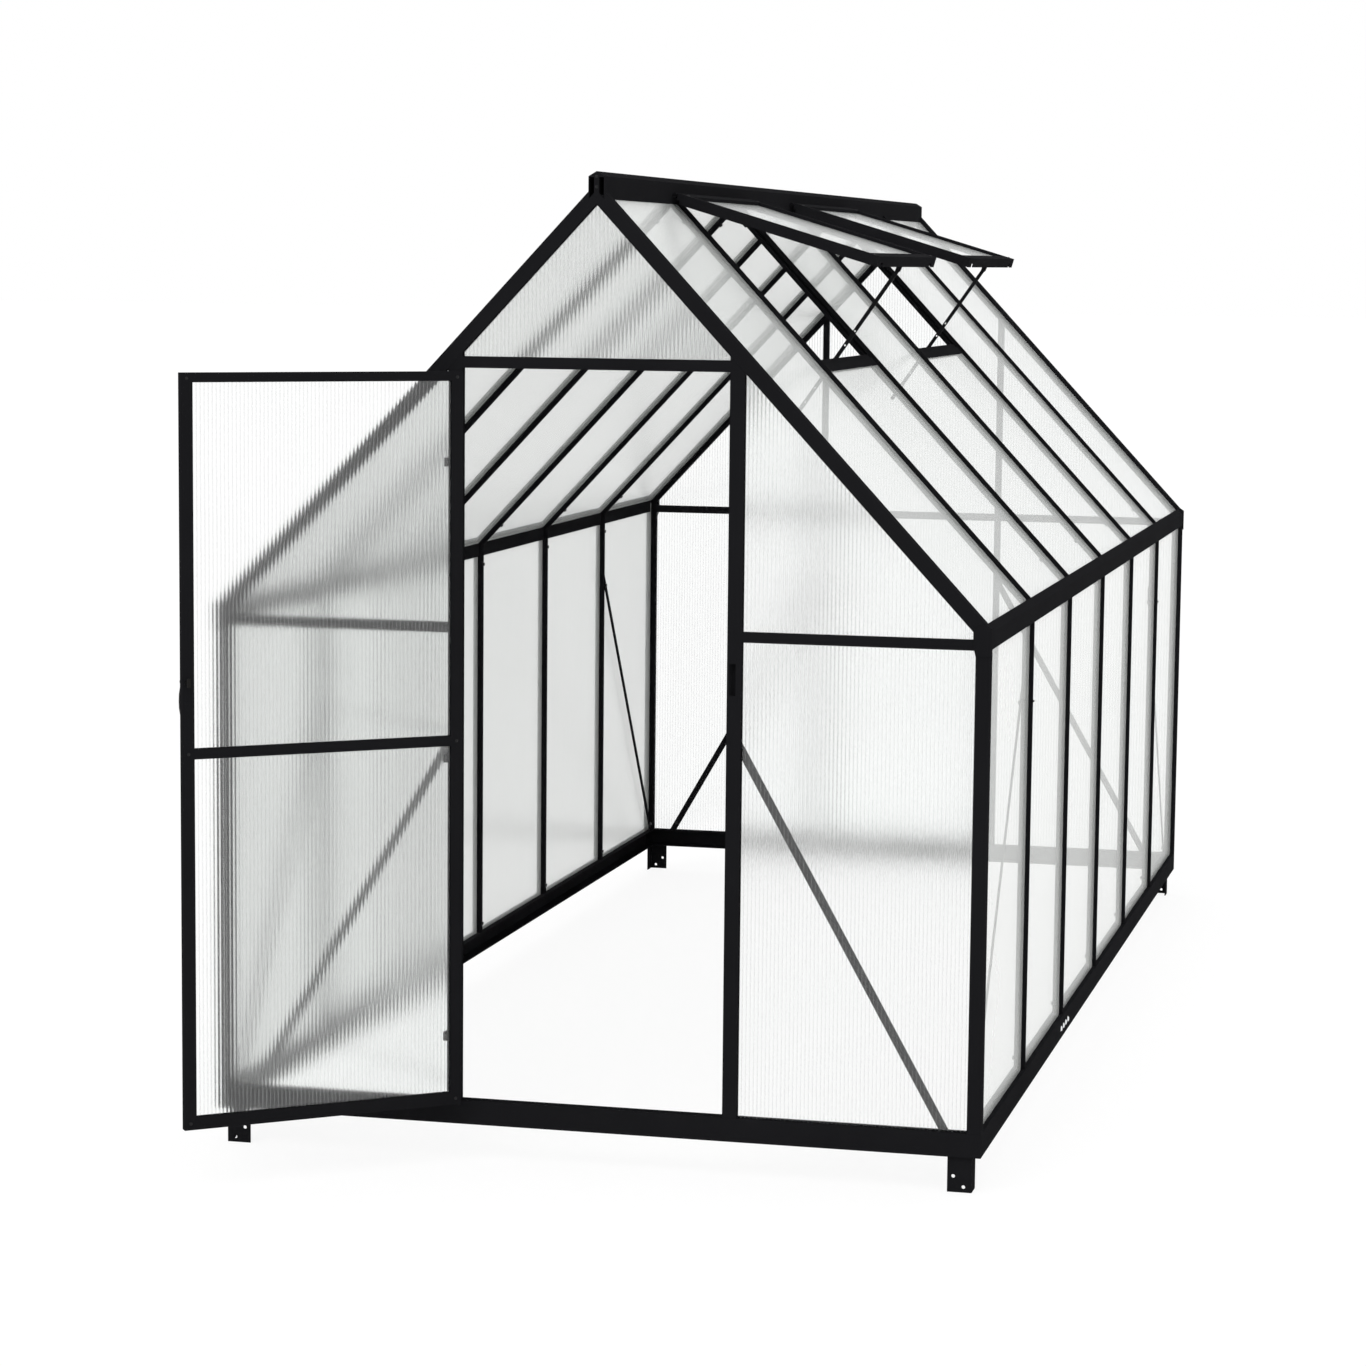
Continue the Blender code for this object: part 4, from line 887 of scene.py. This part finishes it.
strips = []
lengthwise = Matrix(((0, 0, 1), (1, 0, 0), (0, 1, 0))).transposed().to_euler()
for side in (-1, 1):
    x = side * (PANEL_FACE - SHEET_THICK - COVER_CLEAR - COVER_THICK / 2)
    for k in range(BAYS):
        start = k * BAY + (CORNER_LEG if k == 0 else BAR_LEG)
        stop = (k + 1) * BAY - (CORNER_LEG if k == BAYS - 1 else BAR_LEG)
        middle = Vector((x, (start + stop) / 2, KNEE - COVER_DROP - COVER_TALL / 2))
        strips.append((middle, stop - start, lengthwise))
cover = {"Finish": coated_aluminium, "Bar Width": COVER_TALL, "Bar Depth": COVER_THICK}
grow("eave_covers", STANDING, strips, bar_tree, bar_sizes, cover)

# %% [markdown]
# ## Splice screws
# A base rail as long as this one is packed in two lengths, and a plate behind the joint takes
# four screws. They are bright zinc on a black rail, so they catch the eye from afar. Painted dots
# would do at that distance, but low crowned heads also catch the light when seen from the side.

# %% Splice screws of the base rail
SPLICE_Y = 1.42
SPLICE_Z = 0.027
SPLICE_PITCH = 44 * MM
SPLICE_STEPS = (-1.5, -0.5, 0.5, 1.5)
SPLICE_SIGHT = 1.3

splices = []
for side in (-1, 1):
    for step in SPLICE_STEPS:
        start = (side * SPLICE_SIGHT, SPLICE_Y + step * SPLICE_PITCH, SPLICE_Z)
        splices.append(seat("base_frame", start, (-side, 0, 0)))
fasten("splice_screws", STANDING, splices, SPLICE, bright_zinc)

# %% [markdown]
# ## Screws of the door and the vents
# The corners of the leaf and of each sash are screwed from the face. These parts move, so their
# screws ride on their own bodies. Places in the room would be hard to read on a part that stands
# open, so a point is named along the leaf or down the sash, and one turn carries it there.

# %% Door screws
HINGE_PIN = (-0.330, -0.052, 0)
DOOR_TURN = Matrix.Rotation(DOOR_ANGLE, 4, "Z")
DOOR_PLACE = Matrix.Translation(HINGE_PIN) @ DOOR_TURN
STILE_MIDDLES = (0.004, 0.662)
RAIL_HEIGHTS = (0.0755, 0.935, 1.790)
LEAF_SIGHT = 0.1

leaf_screws = []
for along in STILE_MIDDLES:
    for z in RAIL_HEIGHTS:
        for depth in (-LEAF_SIGHT, LEAF_SIGHT):
            start = DOOR_PLACE @ Vector((along, depth, z))
            aim = DOOR_TURN @ Vector((0, -depth, 0))
            leaf_screws.append(seat("door_frame", start, aim))
fasten("leaf_screws", body_of("door_frame"), leaf_screws, SCREW, black_steel)

# %% Vent screws
VENT_OPEN = math.radians(30.5)
VENT_TURN = Matrix.Rotation(ROOF_SLOPE - VENT_OPEN, 4, "Y")
VENT_HINGE = Vector((0.0255, 0, 2.225))
VENT_MIDDLES = {"vent_sash_front": 1.05, "vent_sash_rear": 2.45}
SASH_ENDS = (0.030, 0.524)
SASH_SIDES = (-0.400, 0.400)
SASH_SIGHT = 0.1

for sash, middle in VENT_MIDDLES.items():
    place = Matrix.Translation(VENT_HINGE + Vector((0, middle, 0))) @ VENT_TURN
    sash_screws = []
    for along in SASH_ENDS:
        for across in SASH_SIDES:
            start = place @ Vector((along, across, SASH_SIGHT))
            sash_screws.append(seat(sash, start, VENT_TURN @ Vector((0, 0, -1))))
    fasten(sash.replace("sash", "screws"), body_of(sash), sash_screws, SCREW, black_steel)
